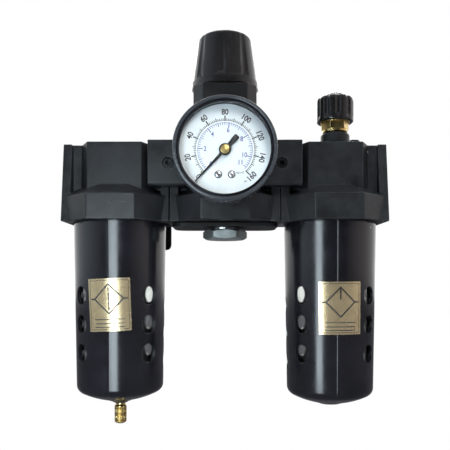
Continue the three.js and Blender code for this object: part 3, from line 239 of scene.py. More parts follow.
def finish(name, colour, patch, smooth, rough, patch_scale=60.0, grain_scale=900.0, run=(1, 1, 1),
           edge=(0.1, 0.1, 0.1), edge_width=0.5, edge_share=0.0, dust=0.0, bump=0.1, depth=0.02,
           metallic=0.0, coat=0.0, specular=0.5, see_through=0.0, ior=1.5):
    """A material on the shared surface detail. Widths and depths are in millimetres."""
    made = bpy.data.materials.new(name)
    made.use_nodes = True
    tree = made.node_tree
    tree.nodes.clear()
    detail = put(tree, "ShaderNodeGroup", node_tree=surface_group)
    for label, value in (
        ("Colour", (*colour, 1)), ("Patch Colour", (*patch, 1)), ("Patch Scale", patch_scale),
        ("Grain Scale", grain_scale), ("Grain Run", run), ("Smoothest", smooth), ("Roughest", rough),
        ("Worn Edge and Highlight Colour", (*edge, 1)), ("Edge Width", edge_width * MM), ("Edge Share", edge_share),
        ("Dust Share", dust),
    ):
        detail.inputs[label].default_value = value
    relief = put(tree, "ShaderNodeBump", {"Strength": bump, "Distance": depth * MM,
                                          "Height": detail.outputs["Height"]})
    shader = put(tree, "ShaderNodeBsdfPrincipled", {
        "Base Color": detail.outputs["Colour"], "Roughness": detail.outputs["Roughness"],
        "Metallic": metallic, "Coat Weight": coat, "Coat Roughness": 0.06,
        "Specular IOR Level": specular, "Transmission Weight": see_through, "IOR": ior,
        "Normal": relief.outputs[0]})
    put(tree, "ShaderNodeOutputMaterial", {"Surface": shader.outputs[0]})
    return made


# In every finish the edge colour lightens the edges: partly wear, partly a painted highlight.
cast_enamel = finish("cast_enamel", (0.0055, 0.0062, 0.0072), (0.0105, 0.012, 0.014), 0.32, 0.52,
                     patch_scale=75, grain_scale=800, edge=(0.085, 0.10, 0.11), edge_width=0.55,
                     edge_share=0.6, dust=0.014, bump=0.6, depth=0.10, specular=0.30)
cover_enamel = finish("cover_enamel", (0.004, 0.0042, 0.0045), (0.007, 0.0074, 0.008), 0.45, 0.60,
                      patch_scale=75, grain_scale=900, edge=(0.07, 0.08, 0.09), edge_width=0.35,
                      edge_share=0.5, dust=0.008, bump=0.4, depth=0.06, specular=0.14)
bonnet_enamel = finish("bonnet_enamel", (0.005, 0.0052, 0.0056), (0.008, 0.0084, 0.009), 0.30, 0.46,
                       patch_scale=60, grain_scale=1300, edge=(0.05, 0.05, 0.052), edge_width=0.5,
                       edge_share=0.5, dust=0.006, bump=0.2, depth=0.04)
black_oxide = finish("black_oxide", (0.018, 0.019, 0.021), (0.030, 0.031, 0.034), 0.26, 0.42,
                     patch_scale=140, grain_scale=2200, edge=(0.25, 0.25, 0.26), edge_width=0.3,
                     edge_share=0.7, bump=0.15, depth=0.02, metallic=0.85)


def settle(obj, body, paints, stands_for=(), crease=32.0):
    """Gives a piece its paint, its smooth shading and its body, and hides the imported parts it stands for."""
    for paint in paints:
        obj.data.materials.append(paint)
    obj.data.shade_smooth()
    obj.data.set_sharp_from_angle(angle=math.radians(crease))
    bpy.context.scene.collection.objects.link(obj)
    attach(obj, body)
    if stands_for:
        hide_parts(*stands_for)
    return obj


def edged_copy(node, name, paint, width, weld=0.12, corner=28.0, steps=2):
    """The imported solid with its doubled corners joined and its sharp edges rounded."""
    solid = frame["nodes"][node]
    mesh = bpy.data.meshes.new(name)
    work = bmesh.new()
    work.from_mesh(solid.data)
    bmesh.ops.remove_doubles(work, verts=work.verts, dist=weld * MM)
    bmesh.ops.dissolve_degenerate(work, edges=work.edges, dist=0.02 * MM)
    bmesh.ops.dissolve_limit(work, angle_limit=math.radians(1.2), verts=work.verts, edges=work.edges)
    skin = BVHTree.FromBMesh(work)
    sharp = [edge for edge in work.edges
             if len(edge.link_faces) == 2 and edge.calc_face_angle(0.0) > math.radians(corner)]
    bmesh.ops.bevel(work, geom=sharp, offset=width * MM, offset_type="OFFSET", segments=steps,
                    profile=0.5, affect="EDGES", clamp_overlap=False)
    for vert in work.verts:
        nearest, _, _, off = skin.find_nearest(vert.co)
        if off > 0.4 * width * MM:
            vert.co = nearest
    work.to_mesh(mesh)
    work.free()
    for attribute in ("custom_normal", "sharp_edge", "sharp_face"):
        if attribute in mesh.attributes:
            mesh.attributes.remove(mesh.attributes[attribute])
    obj = bpy.data.objects.new(name, mesh)
    settle(obj, solid["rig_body"], [paint], [node], 80.0)
    shading = obj.modifiers.new("flat_faces", "WEIGHTED_NORMAL")
    shading.weight = 90
    shading.keep_sharp = True
    return obj


for node, name in (("filter_body", "filter_casting"), ("regulator_body", "regulator_casting"),
                   ("lubricator_body", "lubricator_casting")):
    edged_copy(node, name, cast_enamel, 0.55)
edged_copy("bonnet", "spring_bonnet", bonnet_enamel, 0.6)
edged_copy("bottom_cover", "cover_plate", cover_enamel, 0.35)
for row in ("front", "rear"):
    for side in ("left", "right"):
        edged_copy(f"{row}_clamp_{side}", f"{row}_clamp_plate_{side}", cast_enamel, 0.35)
        edged_copy(f"{row}_clamp_screw_{side}", f"{row}_socket_screw_{side}", black_oxide, 0.2)

# ---- Wall bracket, plugs and hexagons ---------------------------------------------
# Pressed and turned steel parts, blackened in an oxide bath: the plate behind the
# filter, the plug in the unused rear port and the oil fill plug. The bottom plug is grey zinc.
for node, name, width in (("wall_bracket", "bracket_plate", 0.3), ("rear_port_plug", "rear_plug", 0.25),
                          ("fill_plug", "oil_fill_plug", 0.35)):
    edged_copy(node, name, black_oxide, width)
grey_zinc = finish("grey_zinc", (0.20, 0.225, 0.225), (0.30, 0.33, 0.33), 0.38, 0.55, patch_scale=160,
                   grain_scale=1800, edge=(0.5, 0.52, 0.52), edge_width=0.3, edge_share=0.6, bump=0.2,
                   depth=0.03, metallic=0.8)
edged_copy("bottom_plug", "bottom_hex_plug", grey_zinc, 0.3)

# ---- Bowl guards -------------------------------------------------------------------
# Two zinc guards, deep drawn with a shallow dome, in a glossy black enamel with a faint
# mould line down the front. Eighteen round holes show the oil or water level. Each
# locks into its casting with a part turn.
low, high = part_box("filter_body")
end_x = -(low.x + high.x) / 2 / MM
guard_radius = 27.6
guard_draft = 0.0172
guard_wall = 1.7
guard_rim = -23.0
skirt_foot = -32.5
corner_radius = 5.0
dome_radius = 51.0
opening_radius = 9.5
hole_radius = 5.4
hole_columns = ((48, 0), (93, 7), (138, 0))
first_hole = -75.5
hole_rows = 3
hole_pitch = 16.8


def guard_side(z, inset=0.0):
    """The guard's outer radius at a height, in its straight part."""
    return guard_radius - guard_draft * (skirt_foot - z) - inset


def guard_curve(bottom, inset, end_radius, steps=10):
    """The rounded foot and the dome as [radius, height], from the side down to the opening."""
    centre = bottom + dome_radius
    corner_x = guard_side(bottom + 2 * corner_radius) - corner_radius
    reach = dome_radius - corner_radius
    corner_z = centre - math.sqrt(reach * reach - corner_x * corner_x)
    turn = math.atan2(corner_z - centre, corner_x)
    small, large = corner_radius - inset, dome_radius - inset
    points = [(corner_x + small * math.cos(turn * i / steps), corner_z + small * math.sin(turn * i / steps))
              for i in range(steps + 1)]
    last = -math.acos(end_radius / large)
    for i in range(1, steps + 1):
        angle = turn + (last - turn) * i / steps
        points.append((large * math.cos(angle), centre + large * math.sin(angle)))
    return points


def new_piece(name, points, faces):
    """An object from points in millimetres, with doubled points joined and faces turned outwards."""
    mesh = bpy.data.meshes.new(name)
    mesh.from_pydata([(x * MM, y * MM, z * MM) for x, y, z in points], [], faces)
    work = bmesh.new()
    work.from_mesh(mesh)
    bmesh.ops.remove_doubles(work, verts=work.verts, dist=0.002 * MM)
    bmesh.ops.dissolve_degenerate(work, edges=work.edges, dist=0.001 * MM)
    bmesh.ops.recalc_face_normals(work, faces=work.faces)
    work.to_mesh(mesh)
    work.free()
    return bpy.data.objects.new(name, mesh)


def guard_piece(name, x, bottom, pitch, seam_angle):
    """A guard's outer skin: its side cut with round holes and rolled up, then its dome; its thickness is added
    afterwards.
    """
    columns = sorted({i * 3.0 for i in range(-60, 61)} | {seam_angle - 0.7, seam_angle, seam_angle + 0.7})
    columns = [c for c in columns if not (0 < abs(c - seam_angle) < 2.0 and c == round(c))]
    curve = guard_curve(bottom, 0.0, opening_radius)
    side_end = curve[0][1]
    rows = [guard_rim + (side_end - guard_rim) * i / 44 for i in range(45)]
    holes = [(side * column, first_hole - drop - row * pitch)
             for side in (-1, 1) for column, drop in hole_columns for row in range(hole_rows)]
    per_degree = math.radians(1) * guard_radius

    def away(c, z, hole):
        return math.hypot((c - hole[0]) * per_degree, z - hole[1])

    flat_points = [(c * per_degree, z) for c in columns for z in rows
                   if all(away(c, z, hole) > hole_radius + 0.7 for hole in holes)]
    edges = []
    round_steps = 36
    for hole in holes:
        start = len(flat_points)
        for i in range(round_steps):
            angle = 2 * math.pi * i / round_steps
            flat_points.append((hole[0] * per_degree + hole_radius * math.cos(angle),
                                hole[1] + hole_radius * math.sin(angle)))
            edges.append((start + i, start + (i + 1) % round_steps))
    cut = delaunay_2d_cdt([Vector(p) for p in flat_points], edges, [], 0, 1e-5)
    sheet, faces = cut[0], []
    for face in cut[2]:
        middle = sum((sheet[i] for i in face), Vector((0, 0))) / len(face)
        if all(away(middle.x / per_degree, middle.y, hole) > hole_radius - 0.01 for hole in holes):
            faces.append(list(face))

    def ridge(angle):
        return 0.22 if abs(angle - seam_angle) < 0.2 else 0.0

    def at(angle, radius, z):
        turned = math.radians(angle)
        return (x + radius * math.sin(turned), -radius * math.cos(turned), z)

    points = []
    for p in sheet:
        angle = p.x / per_degree
        points.append(at(angle, guard_side(p.y) + ridge(angle), p.y))
    for index in range(len(curve) - 1):
        (r0, z0), (r1, z1) = curve[index], curve[index + 1]
        for a0, a1 in zip(columns, columns[1:]):
            start = len(points)
            points += [at(a0, r0 + ridge(a0), z0), at(a1, r0 + ridge(a1), z0),
                       at(a1, r1 + ridge(a1), z1), at(a0, r1 + ridge(a0), z1)]
            faces.append([start, start + 1, start + 2, start + 3])
    return new_piece(name, points, faces)


guard_enamel = finish("guard_enamel", (0.0030, 0.0032, 0.0042), (0.0050, 0.0050, 0.0078), 0.15, 0.24,
                      patch_scale=45, grain_scale=700, edge=(0.05, 0.05, 0.055), edge_width=0.35,
                      edge_share=0.4, dust=0.008, bump=0.10, depth=0.02)
for kind, x, bottom, pitch, seam_angle in (("filter", -end_x, -139.5, hole_pitch, -5.0),
                                           ("lubricator", end_x, -141.2, hole_pitch + 0.283, 0.0)):
    guard = guard_piece(kind + "_guard", x, bottom, pitch, seam_angle)
    settle(guard, kind + "_bowl", [guard_enamel], [kind + "_bowl_guard"], crease=40)
    wall = guard.modifiers.new("wall", "SOLIDIFY")
    wall.thickness = guard_wall * MM
    wall.offset = -1
    rim = guard.modifiers.new("rolled_edges", "BEVEL")
    rim.width = 0.32 * MM
    rim.segments = 2
    rim.limit_method = "ANGLE"
    rim.angle_limit = math.radians(60)
    rim.harden_normals = True

# ---- Clear bowls -------------------------------------------------------------------
# Moulded polycarbonate bowls inside the guards, a little smoky. Only what shows through
# the holes and the rounded tip under the guard is ever seen. The rim seals against an
# O-ring up in the casting.


def softened(profile, radius, steps=3):
    """A profile of [radius, height] with each corner rounded off."""
    made = [profile[0]]
    for before, corner, after in zip(profile, profile[1:], profile[2:]):
        b, c, a = Vector(before), Vector(corner), Vector(after)
        reach = min(radius, (b - c).length * 0.45, (a - c).length * 0.45)
        start, end = c + (b - c).normalized() * reach, c + (a - c).normalized() * reach
        for i in range(steps + 1):
            share = i / steps
            made.append(tuple(start * (1 - share) ** 2 + c * 2 * share * (1 - share) + end * share ** 2))
    made.append(profile[-1])
    return made


def turning(profile, sides=64, place=(0, 0, 0), forward=False, ring=False):
    """A profile turned about Z, or about Y when forward. A ring's profile joins its own start."""
    rows = list(profile) + ([profile[0]] if ring else [])
    points, faces = [], []
    for r, h in rows:
        for i in range(sides):
            a = 2 * math.pi * i / sides
            across, up = r * math.cos(a), r * math.sin(a)
            y, z = (h, up) if forward else (up, h)
            points.append((place[0] + across, place[1] + y, place[2] + z))
    for row in range(len(rows) - 1):
        for i in range(sides):
            j = (i + 1) % sides
            a, b = row * sides, (row + 1) * sides
            faces.append([a + i, a + j, b + j, b + i])
    return points, faces


def glass(name, colour, rough, ior=1.55, ripple=0.05):
    """A clear moulding: fine flow marks in its surface, the rest plain glass."""
    return finish(name, colour, tuple(c * 0.95 for c in colour), rough, rough * 2, patch_scale=90,
                  grain_scale=260, bump=ripple, depth=0.02, see_through=1.0, ior=ior)


clear_bowl = glass("clear_bowl", (0.86, 0.88, 0.86), 0.03)
bowl_inset = 2.1
bowl_wall = 2.4
bowl_top = -19.5
tip_radius = 9.2
tip_depth = 3.2
for kind, x, bottom, hole in (("filter", -end_x, -139.5, 3.3), ("lubricator", end_x, -141.2, 0.0)):
    outer = [(guard_side(skirt_foot, bowl_inset), bowl_top),
             (guard_side(skirt_foot, bowl_inset), skirt_foot)]
    outer += guard_curve(bottom, bowl_inset, tip_radius, 6)
    inner = [(guard_side(skirt_foot, bowl_inset + bowl_wall), bowl_top),
             (guard_side(skirt_foot, bowl_inset + bowl_wall), skirt_foot)]
    inner += guard_curve(bottom, bowl_inset + bowl_wall, tip_radius, 6)
    end = outer[-1][1]
    profile = [(hole, end + bowl_wall)] + inner[::-1] + outer
    profile += [(tip_radius - 0.5, end - 1.4), (tip_radius - 2, end - tip_depth), (hole, end - tip_depth)]
    bowl = new_piece(kind + "_clear_bowl", *turning(softened(profile, 0.6), 72, (x, 0, 0), ring=hole > 0))
    settle(bowl, kind + "_bowl", [clear_bowl], [kind + "_bowl"], crease=50)

# ---- Labels ---------------------------------------------------------------------------
# Printed gold foil wrapped round the front of each guard: a thin black line round the
# edge, the symbol for a filter or a lubricator, and three ruled lines.
gold_foil = finish("gold_foil", (0.60, 0.49, 0.30), (0.50, 0.40, 0.24), 0.20, 0.30, patch_scale=110,
                   grain_scale=1500, run=(1, 1, 0.06), edge=(0.85, 0.78, 0.6), edge_width=0.25,
                   edge_share=0.4, bump=0.12, depth=0.02, metallic=0.85)
label_ink = finish("label_ink", (0.012, 0.012, 0.012), (0.02, 0.02, 0.02), 0.35, 0.5, bump=0.05)


def printed_piece(name, points, faces):
    """An object from points in millimetres whose faces keep their order, so each takes its ink."""
    mesh = bpy.data.meshes.new(name)
    mesh.from_pydata([(x * MM, y * MM, z * MM) for x, y, z in points], [], faces)
    work = bmesh.new()
    work.from_mesh(mesh)
    bmesh.ops.recalc_face_normals(work, faces=work.faces)
    work.to_mesh(mesh)
    work.free()
    return bpy.data.objects.new(name, mesh)


def bar(x0, y0, x1, y1, wide):
    """The corners of a flat bar from one point to another."""
    along = Vector((x1 - x0, y1 - y0)).normalized() * (wide / 2)
    side = Vector((-along.y, along.x))
    a, b = Vector((x0, y0)), Vector((x1, y1))
    return [tuple(corner) for corner in (a - side - along, b - side + along,
                                         b + side + along, a + side - along)]


def label_marks(kind, half_width, half_height):
    """The printed shapes as bars about the label's centre."""
    edge_x, edge_y = half_width - 1.1, half_height - 1.1
    corners = [(-edge_x, -edge_y), (edge_x, -edge_y), (edge_x, edge_y), (-edge_x, edge_y)]
    marks = [bar(*corners[i], *corners[(i + 1) % 4], 0.28) for i in range(4)]
    size, lift = 8.4, 3.4
    tips = [(0, lift - size), (size, lift), (0, lift + size), (-size, lift)]
    marks += [bar(*tips[i], *tips[(i + 1) % 4], 0.85) for i in range(4)]
    marks += [bar(-size - 2.0, lift, -size, lift, 0.85), bar(size, lift, size + 2.0, lift, 0.85)]
    if kind == "filter":
        marks += [bar(0, lift + y, 0, lift + y + 1.6, 0.85) for y in (-6.2, -3.5, -0.8, 1.9, 4.6)]
    else:
        marks += [bar(0, lift + size - 1.0, 0, lift + 2.0, 0.85)]
    marks += [bar(-8.5, y, 8.5, y, 0.5) for y in (-8.2, -10.6, -12.6)]
    return marks


label_half_width, label_half_height, label_gap, label_thick = 12.5, 15.0, 0.3, 0.4
for kind, x, turn, lean in (("filter", -end_x, -3.6, 2.5), ("lubricator", end_x, 3.2, 0.5)):
    low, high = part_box(kind + "_label")
    centre_z = (low.z + high.z) / 2 / MM
    tilt = Matrix.Rotation(math.radians(lean), 2)

    def wrapped(u, v, lift):
        u, v = tilt @ Vector((u, v))
        z = centre_z + v
        radius = guard_side(z) + label_gap + lift
        angle = math.radians(turn) + u / guard_radius
        return (x + radius * math.sin(angle), -radius * math.cos(angle), z)

    steps, points, faces = 24, [], []
    for lift in (label_thick - 0.05, 0.0):
        for i in range(steps + 1):
            for v in (-label_half_height, label_half_height):
                points.append(wrapped(-label_half_width + 2 * label_half_width * i / steps, v, lift))
    back = 2 * (steps + 1)
    for i in range(steps):
        a = 2 * i
        faces += [[a, a + 2, a + 3, a + 1], [back + a, back + a + 1, back + a + 3, back + a + 2],
                  [a, back + a, back + a + 2, a + 2], [a + 1, a + 3, back + a + 3, back + a + 1]]
    for a in (0, 2 * steps):
        faces.append([a, a + 1, back + a + 1, back + a])
    plate_faces = len(faces)
    for mark in label_marks(kind, label_half_width, label_half_height):
        pieces = max(1, round(abs(mark[1][0] - mark[0][0]) / 1.5))
        start = len(points)
        for i in range(pieces + 1):
            share = i / pieces
            low = Vector(mark[0]).lerp(Vector(mark[1]), share)
            high = Vector(mark[3]).lerp(Vector(mark[2]), share)
            for corner in (low, high):
                points += [wrapped(corner.x, corner.y, lift)
                           for lift in (label_thick - 0.05, label_thick)]
        for i in range(pieces):
            a = start + 4 * i
            faces += [[a + 1, a + 5, a + 7, a + 3], [a, a + 2, a + 6, a + 4],
                      [a, a + 4, a + 5, a + 1], [a + 2, a + 3, a + 7, a + 6]]
        for a in (start, start + 4 * pieces):
            faces.append([a, a + 1, a + 3, a + 2])
    label = printed_piece(kind + "_foil_label", points, faces)
    settle(label, kind + "_bowl", [gold_foil, label_ink], [kind + "_label"], crease=30)
    for face in label.data.polygons:
        face.material_index = 1 if face.index >= plate_faces else 0

# ---- Drain -----------------------------------------------------------------------------
# Turned brass: a nipple through the tip of the filter bowl, and a small knob with a
# diamond knurl that is turned by hand to let the water out.
turned_brass = finish("turned_brass", (0.80, 0.62, 0.27), (0.70, 0.50, 0.19), 0.20, 0.36,
                      patch_scale=220, grain_scale=1600, run=(0.05, 0.05, 3.0), edge=(0.95, 0.85, 0.55),
                      edge_width=0.2, edge_share=0.5, bump=0.25, depth=0.03, metallic=1.0)
edged_copy("drain_body", "drain_nipple", turned_brass, 0.2)
low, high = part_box("drain_knob")
knob_low, knob_high = low.z / MM, high.z / MM
knurl_radius = (high.x - low.x) / 2 / MM
knurls = 18
around, rows_up = knurls * 6, 66
points, faces = [], []
for row in range(rows_up + 1):
    z = knob_low + (knob_high - knob_low) * row / rows_up
    up, down = z - knob_low, knob_high - z
    radius = knurl_radius
    if up < 1.6:
        radius = knurl_radius * math.sqrt(max(0.0, 1 - ((1.6 - up) / 1.65) ** 2)) if up > 0 else 0.9
    if down < 0.7:
        radius = knurl_radius - 0.7 + down
    knurled = min(1.0, max(0.0, (up - 1.1) / 0.4)) * min(1.0, max(0.0, (down - 1.1) / 0.3))
    for i in range(around):
        turn = i / around
        climb = z / (2 * math.pi * knurl_radius) * 1.15
        groove = 0.0
        for way in (1, -1):
            phase = (knurls * (turn + way * climb)) % 1.0
            groove = max(groove, 1 - min(phase, 1 - phase) / 0.28)
        r = radius - 0.42 * knurled * max(0.0, groove)
        points.append((-end_x + r * math.cos(2 * math.pi * turn), r * math.sin(2 * math.pi * turn), z))
for row in range(rows_up):
    for i in range(around):
        j = (i + 1) % around
        faces.append([row * around + i, row * around + j, (row + 1) * around + j, (row + 1) * around + i])
faces.append(list(range(around))[::-1])
faces.append([rows_up * around + i for i in range(around)])
settle(new_piece("knurled_drain_knob", points, faces), "drain_knob", [turned_brass],
       ["drain_knob"], crease=28)

# ---- Adjusting knob -----------------------------------------------------------------------
# A tall cap moulded in glossy black plastic. Eight broad hollows run up its side from a
# plain rim, and it lifts to unlock before it turns.
knob_plastic = finish("knob_plastic", (0.0040, 0.0040, 0.0045), (0.0065, 0.0062, 0.0065), 0.14, 0.26,
                      patch_scale=55, grain_scale=600, edge=(0.06, 0.055, 0.055), edge_width=0.4,
                      edge_share=0.4, dust=0.006, bump=0.08, depth=0.02)


def fluted(name, place, outline, sides, hollows, hollow_radius, hollow_offset, start_z, fade, turn, bore,
           run_out=0.0):
    """A turned outline whose side is scooped by upright round hollows, with a bore from below."""
    points, faces = [], []
    for r, z in outline:
        scoop = min(1.0, max(0.0, (z - start_z) / fade))
        for i in range(sides):
            angle = 360.0 * i / sides
            nearest = (angle - turn + 180.0 / hollows) % (360.0 / hollows) - 180.0 / hollows
            off = math.radians(nearest)
            centre = r + hollow_offset + run_out * (z - start_z)
            inside = hollow_radius ** 2 - (centre * math.sin(off)) ** 2
            radius = r
            if inside > 0 and scoop > 0:
                cut_to = centre * math.cos(off) - math.sqrt(inside)
                blend = 0.25
                low = min(r, cut_to)
                gapped = abs(r - cut_to)
                low -= max(0.0, blend - gapped) ** 2 / (4 * blend)
                radius = r + (low - r) * scoop
            turned = math.radians(angle)
            points.append((place[0] + radius * math.cos(turned), place[1] + radius * math.sin(turned), z))
    rows = len(outline)
    for row in range(rows - 1):
        for i in range(sides):
            j = (i + 1) % sides
            faces.append([row * sides + i, row * sides + j, (row + 1) * sides + j, (row + 1) * sides + i])
    faces.append([(rows - 1) * sides + i for i in range(sides)])
    first = len(points)
    for r, z in bore:
        for i in range(sides):
            turned = 2 * math.pi * i / sides
            points.append((place[0] + r * math.cos(turned), place[1] + r * math.sin(turned), z))
    chain = [0] + [first + k * sides for k in range(len(bore))]
    for a, b in zip(chain, chain[1:]):
        for i in range(sides):
            j = (i + 1) % sides
            faces.append([a + i, b + i, b + j, a + j])
    faces.append([chain[-1] + i for i in range(sides)])
    return new_piece(name, points, faces)


low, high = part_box("adjusting_knob")
bottom, top = low.z / MM, high.z / MM
rim_radius = (high.x - low.x) / 2 / MM
shoulder, crown_radius, crown_edge = bottom + 5.0, rim_radius - 4.3, 3.0
profile = [(rim_radius - 0.6, bottom), (rim_radius, bottom + 0.6), (rim_radius, shoulder - 1.2),
           (rim_radius - 0.25, shoulder - 0.45), (rim_radius - 0.8, shoulder)]
side_rows = 14
for i in range(1, side_rows + 1):
    share = i / side_rows
    profile.append((rim_radius - 0.8 + (crown_radius + 0.3 - rim_radius + 0.8) * share,
                    shoulder + (top - crown_edge - shoulder) * share))
for i in range(1, 8):
    angle = math.radians(90 * i / 7)
    profile.append((crown_radius + 0.3 - crown_edge * (1 - math.cos(angle)),
                    top - crown_edge + (crown_edge - 0.15) * math.sin(angle)))
profile += [(crown_radius - crown_edge - 1.5, top - 0.05), (4.0, top)]
bore = [(rim_radius - 3.2, bottom), (rim_radius - 3.2, shoulder),
        (crown_radius - 3.0, top - crown_edge - 1.2)]
knob = fluted("fluted_knob", (0, 0), profile, 240, 8, 4.2, 2.9, shoulder - 0.2, 1.6, 38.25, bore,
              run_out=0.042)
settle(knob, "knob", [knob_plastic], ["adjusting_knob"], crease=24)

# ---- Pressure gauge ------------------------------------------------------------------------
# A two inch dial gauge: a black enamelled case with a stepped bezel pressed on it, a clear
# lens, a white enamelled dial printed in black and violet, two small dial screws, a stop
# pin, and a black pointer with a brass boss on the arbor.
gauge_enamel = finish("gauge_enamel", (0.015, 0.018, 0.022), (0.024, 0.028, 0.033), 0.20, 0.32,
                      patch_scale=50, grain_scale=900, edge=(0.10, 0.11, 0.12), edge_width=0.4,
                      edge_share=0.35, bump=0.08, depth=0.02)
low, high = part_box("gauge_bezel")
gauge_radius, face_y, bezel_back = (high.x - low.x) / 2 / MM, low.y / MM, high.y / MM
window_radius = gauge_radius - 3.6
bezel = [(window_radius, face_y + 2.5), (window_radius, face_y + 0.9), (window_radius + 0.45, face_y + 0.35),
         (window_radius + 0.9, face_y + 0.85), (window_radius + 1.15, face_y + 1.5),
         (window_radius + 1.45, face_y + 0.55), (window_radius + 2.0, face_y),
         (gauge_radius - 0.75, face_y + 0.12), (gauge_radius - 0.2, face_y + 0.7),
         (gauge_radius, face_y + 1.9), (gauge_radius, bezel_back - 1.5),
         (gauge_radius - 0.35, bezel_back - 1.1), (gauge_radius - 0.1, bezel_back),
         (gauge_radius - 0.8, bezel_back), (gauge_radius - 0.8, face_y + 2.5)]
piece = new_piece("stepped_bezel", *turning(softened(bezel, 0.3, 3), 160, forward=True, ring=True))
# The groove and inner lip round the window take the blacker guard enamel: painted shade inside the bezel's
# lip.
settle(piece, "root", [gauge_enamel, guard_enamel], ["gauge_bezel"], crease=40)
for face in piece.data.polygons:
    if math.hypot(face.center.x, face.center.z) < (window_radius + 1.45) * MM:
        face.material_index = 1

low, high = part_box("gauge_case")
case_radius, case_front, case_back = (high.x - low.x) / 2 / MM, low.y / MM, high.y / MM
case = [(5.7, case_back), (case_radius - 2.4, case_back), (case_radius - 0.7, case_back - 0.7),
        (case_radius, case_back - 2.4), (case_radius, case_front), (case_radius - 1.6, case_front),
        (case_radius - 1.6, case_back - 1.6), (5.7, case_back - 1.6)]
piece = new_piece("drawn_gauge_case", *turning(softened(case, 0.7, 4), 128, forward=True, ring=True))
settle(piece, "root", [gauge_enamel], ["gauge_case"], crease=40)

lens_clear = glass("lens_clear", (0.985, 0.99, 0.995), 0.0, ior=1.28, ripple=0.0)
low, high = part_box("gauge_lens")
lens_radius, lens_front, lens_back = (high.x - low.x) / 2 / MM, low.y / MM, high.y / MM
crown = [(lens_radius * i / 12, lens_front + 0.30 * (i / 12) ** 2) for i in range(13)]
lens = crown + [(lens_radius, lens_back), (0.0, lens_back)]
piece = new_piece("gauge_window", *turning(lens, 128, forward=True))
settle(piece, "root", [lens_clear], ["gauge_lens"], crease=40)

dial_enamel = finish("dial_enamel", (0.87, 0.93, 0.95), (0.85, 0.915, 0.94), 0.30, 0.42, patch_scale=70,
                     grain_scale=1500, bump=0.03)
dial_black = finish("dial_black", (0.012, 0.014, 0.020), (0.03, 0.035, 0.045), 0.4, 0.5, bump=0.02)
dial_violet = finish("dial_violet", (0.10, 0.11, 0.34), (0.13, 0.14, 0.40), 0.4, 0.5, bump=0.02)
low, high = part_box("gauge_dial")
dial_radius, dial_front, dial_back = (high.x - low.x) / 2 / MM, low.y / MM, high.y / MM
print_lift = 0.04
points, faces = turning([(1.5, dial_front), (dial_radius - 0.2, dial_front), (dial_radius, dial_front + 0.2),
                         (dial_radius, dial_back), (1.5, dial_back)], 128, forward=True, ring=True)
plain_faces = len(faces)
inks = []


def printed(corners, ink):
    """A thin printed patch on the dial from its corners, as (across, up) about the centre."""
    start, count = len(points), len(corners)
    for lift in (0.0, print_lift):
        points.extend((u, dial_front - lift, v) for u, v in corners)
    faces.append([start + count + i for i in range(count)])
    for i in range(count):
        j = (i + 1) % count
        faces.append([start + i, start + j, start + count + j, start + count + i])
    inks.extend([ink] * (count + 1))


def dial_point(degrees, radius):
    """A place on the dial by its angle clockwise from the top."""
    turned = math.radians(degrees)
    return (radius * math.sin(turned), radius * math.cos(turned))


def printed_tick(degrees, near, far, wide, ink):
    printed(bar(*dial_point(degrees, near), *dial_point(degrees, far), wide), ink)


def printed_arc(radius, wide, start, end, ink, steps=90):
    for i in range(steps):
        a, b = start + (end - start) * i / steps, start + (end - start) * (i + 1) / steps
        printed([dial_point(a, radius - wide / 2), dial_point(b, radius - wide / 2),
                 dial_point(b, radius + wide / 2), dial_point(a, radius + wide / 2)], ink)


scale_start, scale_end, full_scale = -135.0, 135.0, 160.0
per_unit = (scale_end - scale_start) / full_scale
for value in range(0, 161, 2):
    major, middle = value % 20 == 0, value % 10 == 0
    far = 17.3 if major else 16.5 if middle else 16.0
    wide = 0.62 if major else 0.40 if middle else 0.30
    printed_tick(scale_start + value * per_unit, 15.2, far, wide, 1)
printed_arc(15.2, 0.20, scale_start, scale_end, 1)
bar_unit = 14.2233
for step in range(0, 56):
    value = step * 0.2 * bar_unit
    major, middle = step % 10 == 0, step % 5 == 0
    near = 11.6 if major else 12.3 if middle else 12.9
    wide = 0.46 if major else 0.34 if middle else 0.27
    if value <= full_scale:
        printed_tick(scale_start + value * per_unit, near, 14.0, wide, 2)
printed_arc(14.0, 0.18, scale_start, scale_end, 2)
screw_across, screw_up = 3.4, -12.5
# A black ring printed round each dial screw head: painted shade for the recess it sits in.
for u, v in ((-screw_across, screw_up), (screw_across, screw_up)):
    for i in range(28):
        a, b = (2 * math.pi * (i + k) / 28 for k in (0, 1))
        corners = ((1.6, a), (2.0, a), (2.0, b), (1.6, b))
        printed([(u + r * math.cos(t), v + r * math.sin(t)) for r, t in corners], 1)
dial = printed_piece("printed_dial", points, faces)
settle(dial, "root", [dial_enamel, dial_black, dial_violet], ["gauge_dial"], crease=30)
for face in dial.data.polygons:
    face.material_index = 0 if face.index < plain_faces else inks[face.index - plain_faces]


